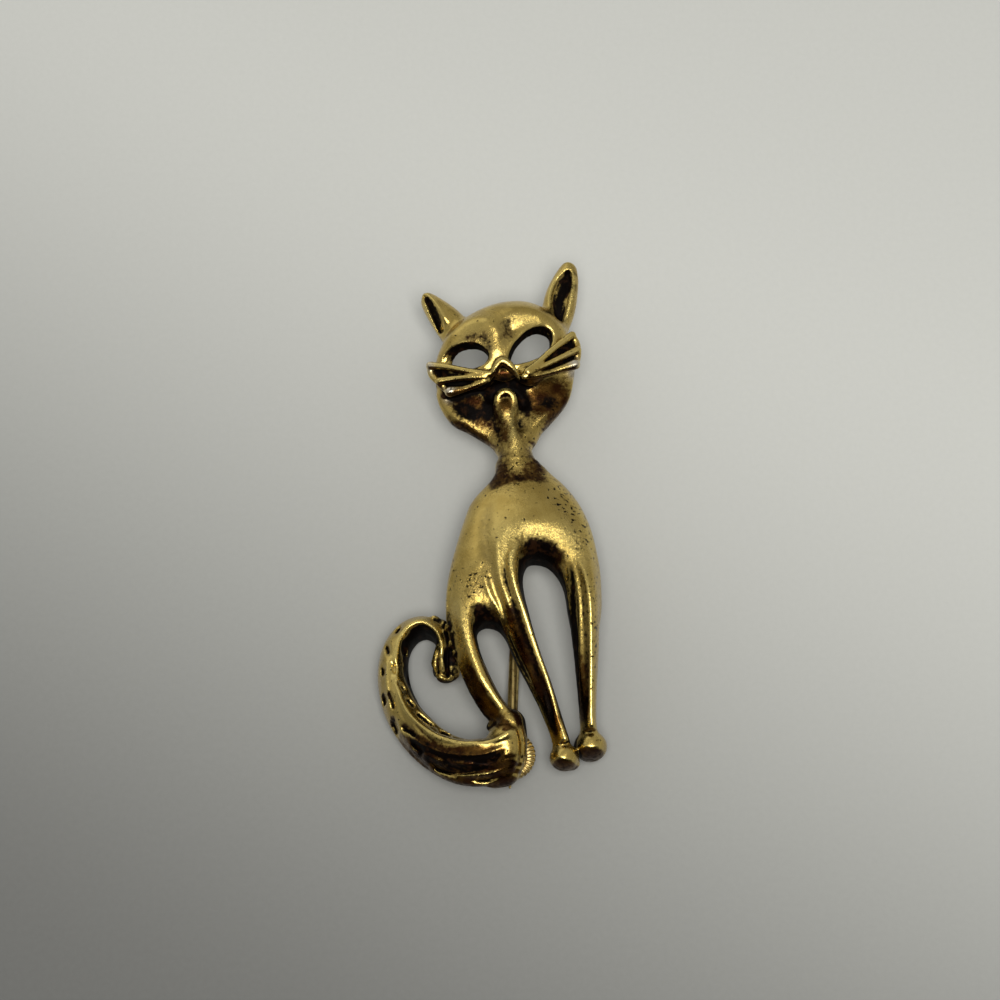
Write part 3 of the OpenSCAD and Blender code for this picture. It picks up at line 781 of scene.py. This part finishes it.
def blots(rows):
    """Soft blots, for stains, wear, painted highlights and painted shade alike. A row holds a place, two half
    sizes, a strength and a turn in degrees.
    """
    return front * sum(amount * patch(spot_x - x, spot_y - y, rx, ry, turn)
                       for x, y, rx, ry, amount, turn in rows)


def band(places, width, amount, fade=1.5):
    away, _, _, _, s = nearest(smooth_curve(places), spot_x, spot_y)
    ends = np.clip(np.minimum(s, s.max() - s) / fade, 0, 1)
    return amount * ends * np.exp(-(away / width) ** 2) * front


# Edges and crests are worn bright. The band and blots added after this are painted highlights: along the
# tail's crest, on the arch rim, the legs, the right flank, the brows and the throat.
wear_and_highlight = step_up(0.04, 0.18, -fine)
TAIL_CREST = [
    (-6.0, -15.6), (-5.7, -14.6), (-6.4, -13.2), (-7.8, -12.4), (-9.3, -13.1), (-10.4, -14.8), (-10.8, -17.2),
    (-10.5, -19.8), (-9.6, -22.2), (-7.9, -24.6), (-5.4, -26.3), (-2.2, -27.0), (0.8, -26.8), (2.6, -25.6),
]
wear_and_highlight += band(TAIL_CREST, 0.4, 0.9, 0.5)
wear_and_highlight += blots([
    (4.4, -3.2, 4.0, 1.5, 0.8, 0), (9.2, -4.6, 1.0, 3.2, 0.7, 25), (1.2, -5.6, 1.4, 3.4, 0.7, 10),
    (-3.8, -12.2, 1.0, 3.2, 0.7, 5), (10.9, -2.0, 1.0, 5.0, 0.6, 15), (4.6, 22.0, 2.6, 0.8, 0.6, 0),
    (-2.0, 21.6, 1.8, 0.7, 0.6, 5), (-10.4, -20.0, 1.0, 5.0, 0.6, 10), (2.4, 9.8, 0.6, 2.0, 1.0, 0),
])
# Recesses are dark with patina. The blots below add patina in the mouth, jaw, ears and tail, and painted
# shade on the arch's upper rim and on the sides of the throat.
dark = 0.7 * step_up(0.05, 0.2, fine) + 0.8 * step_up(0.05, 0.2, broad)
dark += blots([
    (1.7, 14.9, 2.2, 0.6, 1.0, 5), (3.5, 13.8, 0.8, 1.5, 1.6, 15), (-0.3, 13.2, 0.75, 1.5, 1.3, 0),
    (8.3, 26.9, 0.9, 3.2, 1.5, -15), (8.7, 26.3, 0.45, 1.0, -1.1, -15), (-5.0, -17.2, 1.3, 1.5, 0.8, 0),
    (5.2, -6.4, 2.4, 0.9, 0.6, -10), (-1.2, -12.2, 1.2, 1.4, 0.5, 0), (-2.6, 13.2, 2.2, 1.1, 0.5, -35),
    (6.4, 14.2, 1.6, 1.0, 0.3, 20), (6.4, 15.9, 2.6, 0.8, -0.9, 20), (-3.6, 13.8, 1.6, 0.6, -0.5, -15),
    (-4.7, -14.0, 0.65, 2.6, 1.0, 8), (5.0, -4.8, 3.2, 0.9, 0.45, -5), (-0.9, -24.6, 1.5, 0.9, 0.9, -10),
    (6.6, 13.4, 1.8, 1.2, 0.6, 20), (-3.2, 12.6, 1.8, 1.0, 1.0, -35), (4.2, -5.6, 0.9, 0.6, -0.5, 10),
    (6.2, -6.3, 0.8, 0.5, -0.5, -30), (1.2, -8.6, 0.7, 1.6, 0.4, 20), (-6.2, -11.9, 0.9, 0.6, 0.6, -20),
    (-5.2, -16.5, 0.6, 1.0, 0.7, 0), (0.8, 9.6, 0.6, 1.8, 0.5, 10), (4.0, 9.8, 0.6, 1.8, 0.35, -10),
])
# Patina in the hollows by the brows.
dark += band([(1.8, 22.7), (1.6, 21.2), (1.9, 20.0), (2.3, 19.0)], 0.8, 0.6, 0.8)
dark += band([(-3.6, 20.1), (-1.7, 20.3), (-0.7, 19.7), (-0.3, 18.4), (-0.4, 16.8)], 0.65, 0.5, 0.8)
# Patina with painted shade: dark bands down the legs and along the lower tail, on slopes that turn away from
# the light.
dark += band([(-1.5, -11.1), (-1.1, -14.6), (-0.4, -17.5), (0.9, -20.8)], 0.6, 0.7)
dark += band([(1.6, -8.6), (2.4, -11.5), (3.4, -14.4), (4.5, -17.2), (5.5, -20.4), (6.1, -22.6)],
             0.6, 0.75, 4)
dark += band([(9.8, -8.0), (10.2, -10.8), (10.35, -14.0), (10.5, -19.0), (10.6, -23.0)], 0.4, 0.6, 3)
dark += band([(8.6, -6.0), (9.0, -8.5), (9.15, -12), (9.25, -16), (9.35, -21), (9.6, -24)], 0.3, 0.8, 2)
dark += band([(-9.4, -25.0), (-6.8, -27.3), (-4.0, -28.4), (-1.0, -28.8), (1.6, -28.2)], 0.95, 0.75)
# Patina in the left ear's dish, the tail's dashes and the web between the whiskers.
dark += band([(-7.9, 26.8), (-7.3, 25.9), (-6.6, 24.4), (-6.0, 22.9)], 0.4, 1.3, 0.5)
for a, b in TAIL_DASHES:
    dark += band([a, b], 0.26, 0.9, 0.4)
for ribs in (LEFT_WHISKERS, RIGHT_WHISKERS):
    d = polygon_distance(plate_outline(ribs), spot_x, spot_y)
    sunk = rib_level(ribs, spot_x, spot_y) - spot_z
    dark += 1.5 * step_up(0.1, -0.1, d) * step_up(-0.12, 0.1, sunk) * step_up(1.8, 1.4, sunk)
# Round the dark places the metal is stained brown. The blots on the arch's upper rim, along the lower tail
# and under the paws add painted shade to the staining.
brown = blots([
    (-2.2, 13.0, 3.2, 1.8, 1.3, -35), (6.4, 14.2, 3.0, 2.0, 1.6, 25), (1.9, 9.6, 2.2, 1.8, 0.7, 0),
    (1.3, 15.6, 1.1, 0.8, 1.2, 0), (1.6, 13.0, 0.8, 0.9, 1.0, 0), (-2.0, -28.6, 4.5, 1.5, 1.6, -5),
    (-7.8, -26.8, 2.5, 1.2, 1.3, -35), (3.0, -24.5, 0.8, 1.2, 0.5, 0),
    (1.9, 20.8, 1.1, 1.7, 0.6, -15), (-1.8, 20.0, 2.0, 0.8, 0.6, 5), (5.0, -5.4, 3.0, 1.1, 0.9, -5),
    (8.2, -28.9, 1.5, 0.45, 0.6, 0), (11.1, -27.5, 1.6, 0.45, 0.6, 0),
])


def down_leg(rows, places):
    """A band of staining and painted shade across a limb: places holds pairs of a place across it and how
    strong the band is there.
    """
    curve = smooth_curve(in_mm(rows), LIMB_STEPS)
    away, u, _, row, s = nearest(curve, spot_x, spot_y)
    half = row[:, 2]
    across = np.interp(-u / half, [p[0] for p in places], [p[1] for p in places])
    return across * step_up(1.4, 1.1, away / half) * front, s / s.max()


# Staining with painted shade down the legs, on the slopes that turn away from the light.
leg_stain_and_shade, along = down_leg(LEFT_FRONT_LEG, ((-1.0, 0.1), (-0.7, 0.3), (-0.5, 1.2), (0.2, 1.2), (0.5, 0.0)))
brown += leg_stain_and_shade * step_up(0.25, 0.5, along) * step_up(1.0, 0.9, along)
leg_stain_and_shade, along = down_leg(LEFT_FRONT_LEG, ((-1.0, 0.2), (0.4, 0.9), (0.9, 0.9)))
brown += 0.6 * leg_stain_and_shade * step_up(0.6, 0.8, along) * step_up(1.0, 0.9, along)
leg_stain_and_shade, along = down_leg(RIGHT_FRONT_LEG, ((-0.9, 0.9), (0.1, 0.8), (0.4, 0.3), (0.8, 0.0)))
brown += leg_stain_and_shade * step_up(0.4, 0.75, along) * step_up(1.0, 0.93, along)
leg_stain_and_shade, along = down_leg(HIND_LEG, ((-0.9, 0.8), (-0.2, 0.9), (0.3, 0.0), (0.6, 0.5), (1.0, 0.9)))
brown += leg_stain_and_shade * step_up(0.45, 0.7, along)
# The neck is stained down to the collar, where the smooth body starts; its sides are painted darker as shade,
# and its middle is left lighter as a painted highlight.
collar = np.interp(spot_x, (-1.5, 0.0, 1.5, 3.2, 4.9, 6.3, 7.5), (1.2, 2.2, 2.7, 3.0, 3.2, 2.9, 2.2))
above = spot_y - collar
stain_and_shade = step_up(-0.4, 0.5, above) * step_up(-1.2, 0.4, spot_x) * step_up(7.0, 5.4, spot_x) * front
middle = np.exp(-((spot_x - 2.9) / 1.0) ** 2) * step_up(0.8, 2.0, above)
brown += stain_and_shade * step_up(7.5, 1.5, above) * (0.9 - 0.5 * middle)
dark += 0.5 * stain_and_shade * step_up(6.5, 0.5, above) * (1 - 0.8 * middle)
# Faces that turn toward -Y are browner and darker: patina, with painted shade where they face the dark side
# of the room.
low_side_stain_and_shade = step_up(0.3, 0.85, -normals[:, 1]) * step_up(-0.6, -0.1, normals[:, 2])
brown += 0.9 * low_side_stain_and_shade
dark += 0.5 * low_side_stain_and_shade
# Painted shade: the walls round the gaps are darkened.
gaps = [(outline_mm(shares), 0.9) for shares in (ARCH, CROTCH)]
gaps += [(smooth_curve(places, 4, closed=True), 0.7) for places in (TAIL_LOOP, LEG_GAP, HIND_GAP)]
for outline, reach in gaps:
    d = polygon_distance(outline, spot_x, spot_y)
    dark += 1.2 * step_up(reach, 0.0, d) * step_up(0.6, 0.25, normals[:, 2])
# Painted shade: what lies under a skin, or deep in an eye, is darkened.
covered = np.minimum.accumulate(FIELD[:, :, ::-1], axis=2)[:, :, ::-1]
ceiling = np.concatenate((covered[:, :, 3:], np.full_like(covered[:, :, :3], FAR)), axis=2)
dark += 0.55 * step_up(0.1, -0.3, sample(ceiling, spots)) * step_up(3.9, 4.6, spot_z)
for shares in (LEFT_EYE, RIGHT_EYE):
    d = polygon_distance(outline_mm(shares), spot_x, spot_y)
    dark += 1.2 * step_up(0.3, 0.0, d) * step_up(0.8, 0.5, normals[:, 2])
# The back has no hard dark edges.
dark = np.minimum(dark, 0.7 + 2 * step_up(-0.6, -0.2, normals[:, 2]))
rough = blots([
    (4.6, -3.8, 3.6, 1.6, 1.0, 0), (1.6, -6.5, 1.4, 3.4, 1.0, 0), (9.0, -4.0, 1.6, 3.0, 0.7, 30),
    (-3.0, -13.5, 1.0, 4.0, 0.9, -10), (3.0, 22.4, 2.4, 0.7, 0.8, 0), (-1.2, 19.6, 1.3, 0.9, 0.6, 0),
    (9.6, 27.0, 0.7, 4.0, 1.0, -8), (2.6, 6.0, 2.5, 3.0, 0.8, 0), (-5.8, -12.0, 2.5, 1.5, 0.9, 0),
    (1.2, -24.2, 2.0, 1.0, 0.8, 0), (9.4, -8.0, 1.2, 4.0, 0.7, 0), (-2.3, -9.2, 1.6, 1.6, 0.7, 0),
    (2.0, 11.0, 6.0, 3.0, 0.6, 0),
])
pits = blots([
    (9.6, -1.0, 1.4, 5.0, 1.0, 15), (11.4, -14.0, 0.8, 8.0, 0.9, 0), (-2.2, -8.6, 1.8, 2.2, 1.0, 0),
    (-4.8, -6.0, 1.0, 4.0, 0.7, 0), (2.4, -2.0, 1.6, 1.6, 0.5, 0), (2.8, 5.0, 4.0, 3.0, 0.9, 0),
    (8.0, 1.0, 1.2, 2.0, 0.7, 0), (-4.0, 10.5, 3.0, 1.5, 0.8, -40), (7.0, 11.5, 2.5, 1.5, 0.8, 40),
])
# A thin grey-brown film dulls the hollows.
dull = 0.5 * step_up(0.0, 0.12, broad) + blots([
    (1.7, 21.0, 0.9, 1.6, 1.0, -15), (-1.8, 20.1, 2.0, 0.75, 0.9, 5), (-0.5, 18.2, 0.7, 1.6, 0.9, 0),
    (0.9, 17.7, 0.8, 1.1, 0.7, 0), (0.2, 5.5, 0.9, 2.5, 0.6, -15), (5.4, 5.5, 0.9, 2.5, 0.6, 20),
    (1.5, 11.0, 6.0, 2.0, 0.35, 0), (-1.6, -9.5, 1.2, 1.4, 0.5, 0), (8.2, 23.4, 1.2, 1.2, 0.6, 0),
])
dull += band([(-0.2, 1.0), (-0.7, -1.4), (-0.8, -3.6), (-0.4, -6.9), (0.2, -10.2)], 0.6, 0.5)
dull += band([(5.4, 2.6), (7.4, 0.6), (9.0, -2.0), (10.0, -5.5), (10.5, -9.0)], 0.5, 0.2)
# The tips of the whiskers are worn down to the silvery metal under the gold.
silver = blots([
    (-4.8, 14.2, 0.7, 0.6, 0.9, 0), (9.5, 17.5, 0.7, 0.7, 0.9, 0), (-7.2, 17.2, 0.6, 0.7, 0.7, 0),
])
for name, values in (
        ("dark", dark * (1 - 0.5 * wear_and_highlight)), ("brown", brown * (1 - 0.4 * wear_and_highlight)),
        ("under", step_up(0.3, -0.5, normals[:, 2])), ("wear_and_highlight", wear_and_highlight), ("rough", rough),
        ("pits", pits), ("silver", silver), ("dull", dull)):
    layer = cat.data.attributes.new(name, "FLOAT", "POINT")
    layer.data.foreach_set("value", np.clip(values, 0, 1).astype(np.float32))


def node_tree(name):
    material = bpy.data.materials.new(name)
    material.use_nodes = True
    tree = material.node_tree
    return material, tree, tree.nodes["Principled BSDF"]


def add(tree, kind, inputs=None, **settings):
    node = tree.nodes.new(kind)
    for key, value in settings.items():
        setattr(node, key, value)
    for key, value in (inputs or {}).items():
        node.inputs[key].default_value = value
    return node


def math_node(tree, operation, a, b):
    node = add(tree, "ShaderNodeMath", operation=operation)
    for i, value in enumerate((a, b)):
        if isinstance(value, (int, float)):
            node.inputs[i].default_value = value
        else:
            tree.links.new(value, node.inputs[i])
    return node.outputs[0]


def ramp(tree, value, low, high):
    node = add(tree, "ShaderNodeMapRange", interpolation_type="SMOOTHSTEP")
    node.inputs["From Min"].default_value = low
    node.inputs["From Max"].default_value = high
    tree.links.new(value, node.inputs["Value"])
    return node.outputs[0]


def mixed(tree, factor, a, b):
    node = add(tree, "ShaderNodeMix", data_type="RGBA")
    tree.links.new(factor, node.inputs[0])
    for i, value in ((6, a), (7, b)):
        if isinstance(value, tuple):
            node.inputs[i].default_value = (*value, 1)
        else:
            tree.links.new(value, node.inputs[i])
    return node.outputs[2]


def noise(tree, where, scale, detail=4.0, rough=0.6):
    node = add(tree, "ShaderNodeTexNoise", {"Scale": scale, "Detail": detail, "Roughness": rough})
    tree.links.new(where, node.inputs["Vector"])
    return node.outputs[0]


def attribute(tree, name):
    return add(tree, "ShaderNodeAttribute", attribute_name=name).outputs["Fac"]


def scaled(tree, value, factor):
    return math_node(tree, "MULTIPLY", value, factor)


# The metal in two tones, its worn crests and painted highlights, its bare tips, its film, its brown stains
# and black patina, both with painted shade, and its back
GOLD = (0.46, 0.325, 0.085), (0.56, 0.41, 0.12)
WEAR_AND_HIGHLIGHT_GOLD = (0.70, 0.55, 0.185)
BARE = (0.66, 0.61, 0.53)
FILM = (0.13, 0.10, 0.05)
STAIN_AND_SHADE = (0.035, 0.012, 0.004), (0.11, 0.055, 0.012)
BLACK_PATINA_AND_SHADE = (0.002, 0.001, 0.0007), (0.02, 0.008, 0.003)
BACK = (0.20, 0.14, 0.06)


def antiqued_gold():
    material, tree, shader = node_tree("antiqued_gold")
    where = add(tree, "ShaderNodeTexCoord").outputs["Object"]
    coarse = noise(tree, where, 500)
    small = noise(tree, where, 2200, 6.0, 0.7)
    grain = noise(tree, where, 3800, 2.0)
    cloud = noise(tree, where, 950, 3.0)
    speck = noise(tree, where, 2300, 3.0, 0.55)
    uneven = math_node(tree, "ADD", scaled(tree, small, 1.2), scaled(tree, cloud, 0.6))
    speckled = math_node(tree, "ADD", attribute(tree, "dark"), uneven)
    speckled = math_node(tree, "ADD", speckled, scaled(tree, attribute(tree, "rough"), 0.25))
    dark_mask = ramp(tree, speckled, 1.15, 1.7)
    mottled = math_node(tree, "ADD", attribute(tree, "brown"), uneven)
    brown_mask = ramp(tree, mottled, 1.15, 1.75)
    pitted = math_node(tree, "ADD", speck, scaled(tree, attribute(tree, "pits"), 0.1))
    pit_mask = ramp(tree, pitted, 0.665, 0.705)
    gold = mixed(tree, ramp(tree, coarse, 0.35, 0.65), *GOLD)
    # Worn crests and painted highlights turn a brighter gold.
    gold = mixed(tree, scaled(tree, attribute(tree, "wear_and_highlight"), 0.7), gold, WEAR_AND_HIGHLIGHT_GOLD)
    gold = mixed(tree, attribute(tree, "silver"), gold, BARE)
    film = scaled(tree, attribute(tree, "dull"), ramp(tree, uneven, 0.5, 1.1))
    gold = mixed(tree, scaled(tree, film, 0.85), gold, FILM)
    # Brown stains, with painted shade on faces that turn toward -Y.
    stain_and_shade = mixed(tree, ramp(tree, coarse, 0.4, 0.6), *STAIN_AND_SHADE)
    colour = mixed(tree, brown_mask, gold, stain_and_shade)
    under = attribute(tree, "under")
    colour = mixed(tree, scaled(tree, under, 0.6), colour, BACK)
    # Black patina in recesses and pits, with painted shade in the gaps, in the eyes, under the skin and on
    # faces that turn toward -Y.
    black_patina_and_shade = mixed(tree, ramp(tree, cloud, 0.53, 0.68), *BLACK_PATINA_AND_SHADE)
    colour = mixed(tree, math_node(tree, "MAXIMUM", dark_mask, pit_mask), colour, black_patina_and_shade)
    tree.links.new(colour, shader.inputs["Base Color"])
    rough = math_node(tree, "ADD", 0.19, scaled(tree, small, 0.14))
    rough = math_node(tree, "ADD", rough, scaled(tree, dark_mask, 0.25))
    rough = math_node(tree, "ADD", rough, scaled(tree, under, 0.12))
    tree.links.new(rough, shader.inputs["Roughness"])
    tree.links.new(math_node(tree, "SUBTRACT", 1.0, scaled(tree, dark_mask, 0.9)), shader.inputs["Metallic"])
    shader.inputs["Specular IOR Level"].default_value = 0.04
    bump = add(tree, "ShaderNodeBump", {"Distance": 0.00015})
    strength = math_node(tree, "ADD", 0.2, scaled(tree, attribute(tree, "rough"), 0.8))
    tree.links.new(strength, bump.inputs["Strength"])
    height = math_node(tree, "ADD", scaled(tree, coarse, 0.5), small)
    height = math_node(tree, "ADD", height, scaled(tree, grain, 0.35))
    height = math_node(tree, "SUBTRACT", height, scaled(tree, pit_mask, 0.6))
    tree.links.new(height, bump.inputs["Height"])
    tree.links.new(bump.outputs[0], shader.inputs["Normal"])
    return material


def plain_gold():
    material, tree, shader = node_tree("pin_gold")
    where = add(tree, "ShaderNodeTexCoord").outputs["Object"]
    small = noise(tree, where, 1800, 5.0, 0.65)
    broad = noise(tree, where, 260, 3.0)
    colour = mixed(tree, ramp(tree, small, 0.45, 0.7), (0.56, 0.42, 0.16), (0.30, 0.2, 0.07))
    colour = mixed(tree, ramp(tree, broad, 0.5, 0.68), colour, (0.14, 0.08, 0.03))
    tree.links.new(colour, shader.inputs["Base Color"])
    tree.links.new(math_node(tree, "ADD", 0.2, scaled(tree, small, 0.2)), shader.inputs["Roughness"])
    shader.inputs["Metallic"].default_value = 1.0
    return material


cat.data.materials.clear()
cat.data.materials.append(antiqued_gold())
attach(cat, "brooch")
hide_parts("cat_casting")

pin_gold = plain_gold()
for name in ("hinge_plate", "hinge_rivet", "pin_stem", "catch_ring"):
    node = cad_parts[name]
    node.data.materials.clear()
    node.data.materials.append(pin_gold)


def milled_edge(x, y, z, radius, thick, teeth=34):
    """The toothed rim of the round plate that the catch stands on."""
    turn = np.linspace(0, 2 * math.pi, teeth * 8, endpoint=False)
    wave = 0.1 * np.abs(np.cos(turn * teeth / 2))
    # Each ring of the section: its radius, its level, and how far the teeth push it out and up
    rings = ((1.5, 0, 0, 0), (radius - 0.08, 0, 1, 0), (radius, 0.1, 1, 0), (radius, thick - 0.15, 1, 0),
             (radius - 0.1, thick - 0.05, 1, 1), (radius - 0.8, thick, 0, 1), (1.5, thick, 0, 0))
    places = []
    for r, level, out, up in rings:
        far = r + out * wave
        places.append(np.stack((x + far * np.cos(turn), y + far * np.sin(turn), z + level + up * wave), 1))
    n = len(turn)
    here = np.arange(n)
    after = (here + 1) % n
    sides = []
    for i in range(len(rings)):
        j = (i + 1) % len(rings)
        sides.append(np.stack((i * n + here, i * n + after, j * n + after, j * n + here), 1))
    return mesh_object("catch_edge", np.vstack(places), np.vstack(sides))


lean = math.radians(PIN_LEAN)
edge = milled_edge(HINGE[0] - PIN_RUN * math.sin(lean), HINGE[1] - PIN_RUN * math.cos(lean),
                   BACK_Z - PLATE_T - 0.02, CATCH_PLATE_R, PLATE_T + 0.04)
edge.data.materials.append(pin_gold)
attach(edge, "brooch")


def paper():
    material, tree, shader = node_tree("paper")
    where = add(tree, "ShaderNodeTexCoord").outputs["Object"]
    fibre = noise(tree, where, 1500, 4.0)
    pale = mixed(tree, fibre, (0.56, 0.57, 0.546), (0.6, 0.61, 0.586))
    painted_shade_paper = mixed(tree, fibre, (0.115, 0.117, 0.112), (0.135, 0.137, 0.132))
    split = add(tree, "ShaderNodeSeparateXYZ")
    tree.links.new(where, split.inputs[0])
    # Painted shade: the paper darkens toward the bottom and the left.
    lean = math_node(tree, "ADD", split.outputs["Y"], scaled(tree, split.outputs["X"], 0.5))
    colour = mixed(tree, ramp(tree, lean, -0.084, 0.052), painted_shade_paper, pale)
    tree.links.new(colour, shader.inputs["Base Color"])
    shader.inputs["Roughness"].default_value = 0.75
    return material


bpy.ops.mesh.primitive_plane_add(size=4, location=(0, 0, 0))
floor = bpy.context.object
floor.name = "floor"
floor.data.materials.append(paper())


def area_light(name, place, size, power, colour):
    light = bpy.data.lights.new(name, "AREA")
    light.size = size
    light.energy = power
    light.color = colour
    obj = bpy.data.objects.new(name, light)
    obj.location = place
    obj.rotation_euler = (-Vector(place)).to_track_quat("-Z", "Y").to_euler()
    bpy.context.scene.collection.objects.link(obj)


area_light("window", (-0.35, 0.5, 0.3), 0.6, 0.5, (0.98, 0.99, 1.0))
area_light("lamp", (0.03, -0.19, 0.57), 0.27, 2.7, (1, 0.98, 0.94))

world = bpy.data.worlds.new("room")
world.use_nodes = True
bpy.context.scene.world = world
tree = world.node_tree
background = tree.nodes["Background"]
direction = add(tree, "ShaderNodeTexCoord").outputs["Generated"]
split = add(tree, "ShaderNodeSeparateXYZ")
tree.links.new(direction, split.inputs[0])
shade = ramp(tree, split.outputs["Y"], -0.7, -0.25)
low_sky = ramp(tree, split.outputs["Z"], -0.1, 0.5)
shade = scaled(tree, shade, math_node(tree, "ADD", 0.68, scaled(tree, low_sky, 0.32)))
tree.links.new(mixed(tree, shade, (0.010, 0.008, 0.007), (0.44, 0.435, 0.415)), background.inputs["Color"])
bpy.context.scene.view_settings.view_transform = "Standard"

camera_data = bpy.data.cameras.new("camera")
camera = bpy.data.objects.new("camera", camera_data)
bpy.context.scene.collection.objects.link(camera)
look = Vector(LOOK_AT) * MM
tilt = math.radians(CAMERA_TILT)
camera.location = look + Vector((0, -math.sin(tilt), math.cos(tilt))) * CAMERA_FAR
camera.rotation_euler = (look - camera.location).to_track_quat("-Z", "Y").to_euler()
camera_data.sensor_width = SENSOR
camera_data.lens = SENSOR / 2 / math.tan(math.radians(VIEW_ANGLE / 2))
camera_data.clip_start = 0.01
bpy.context.scene.camera = camera
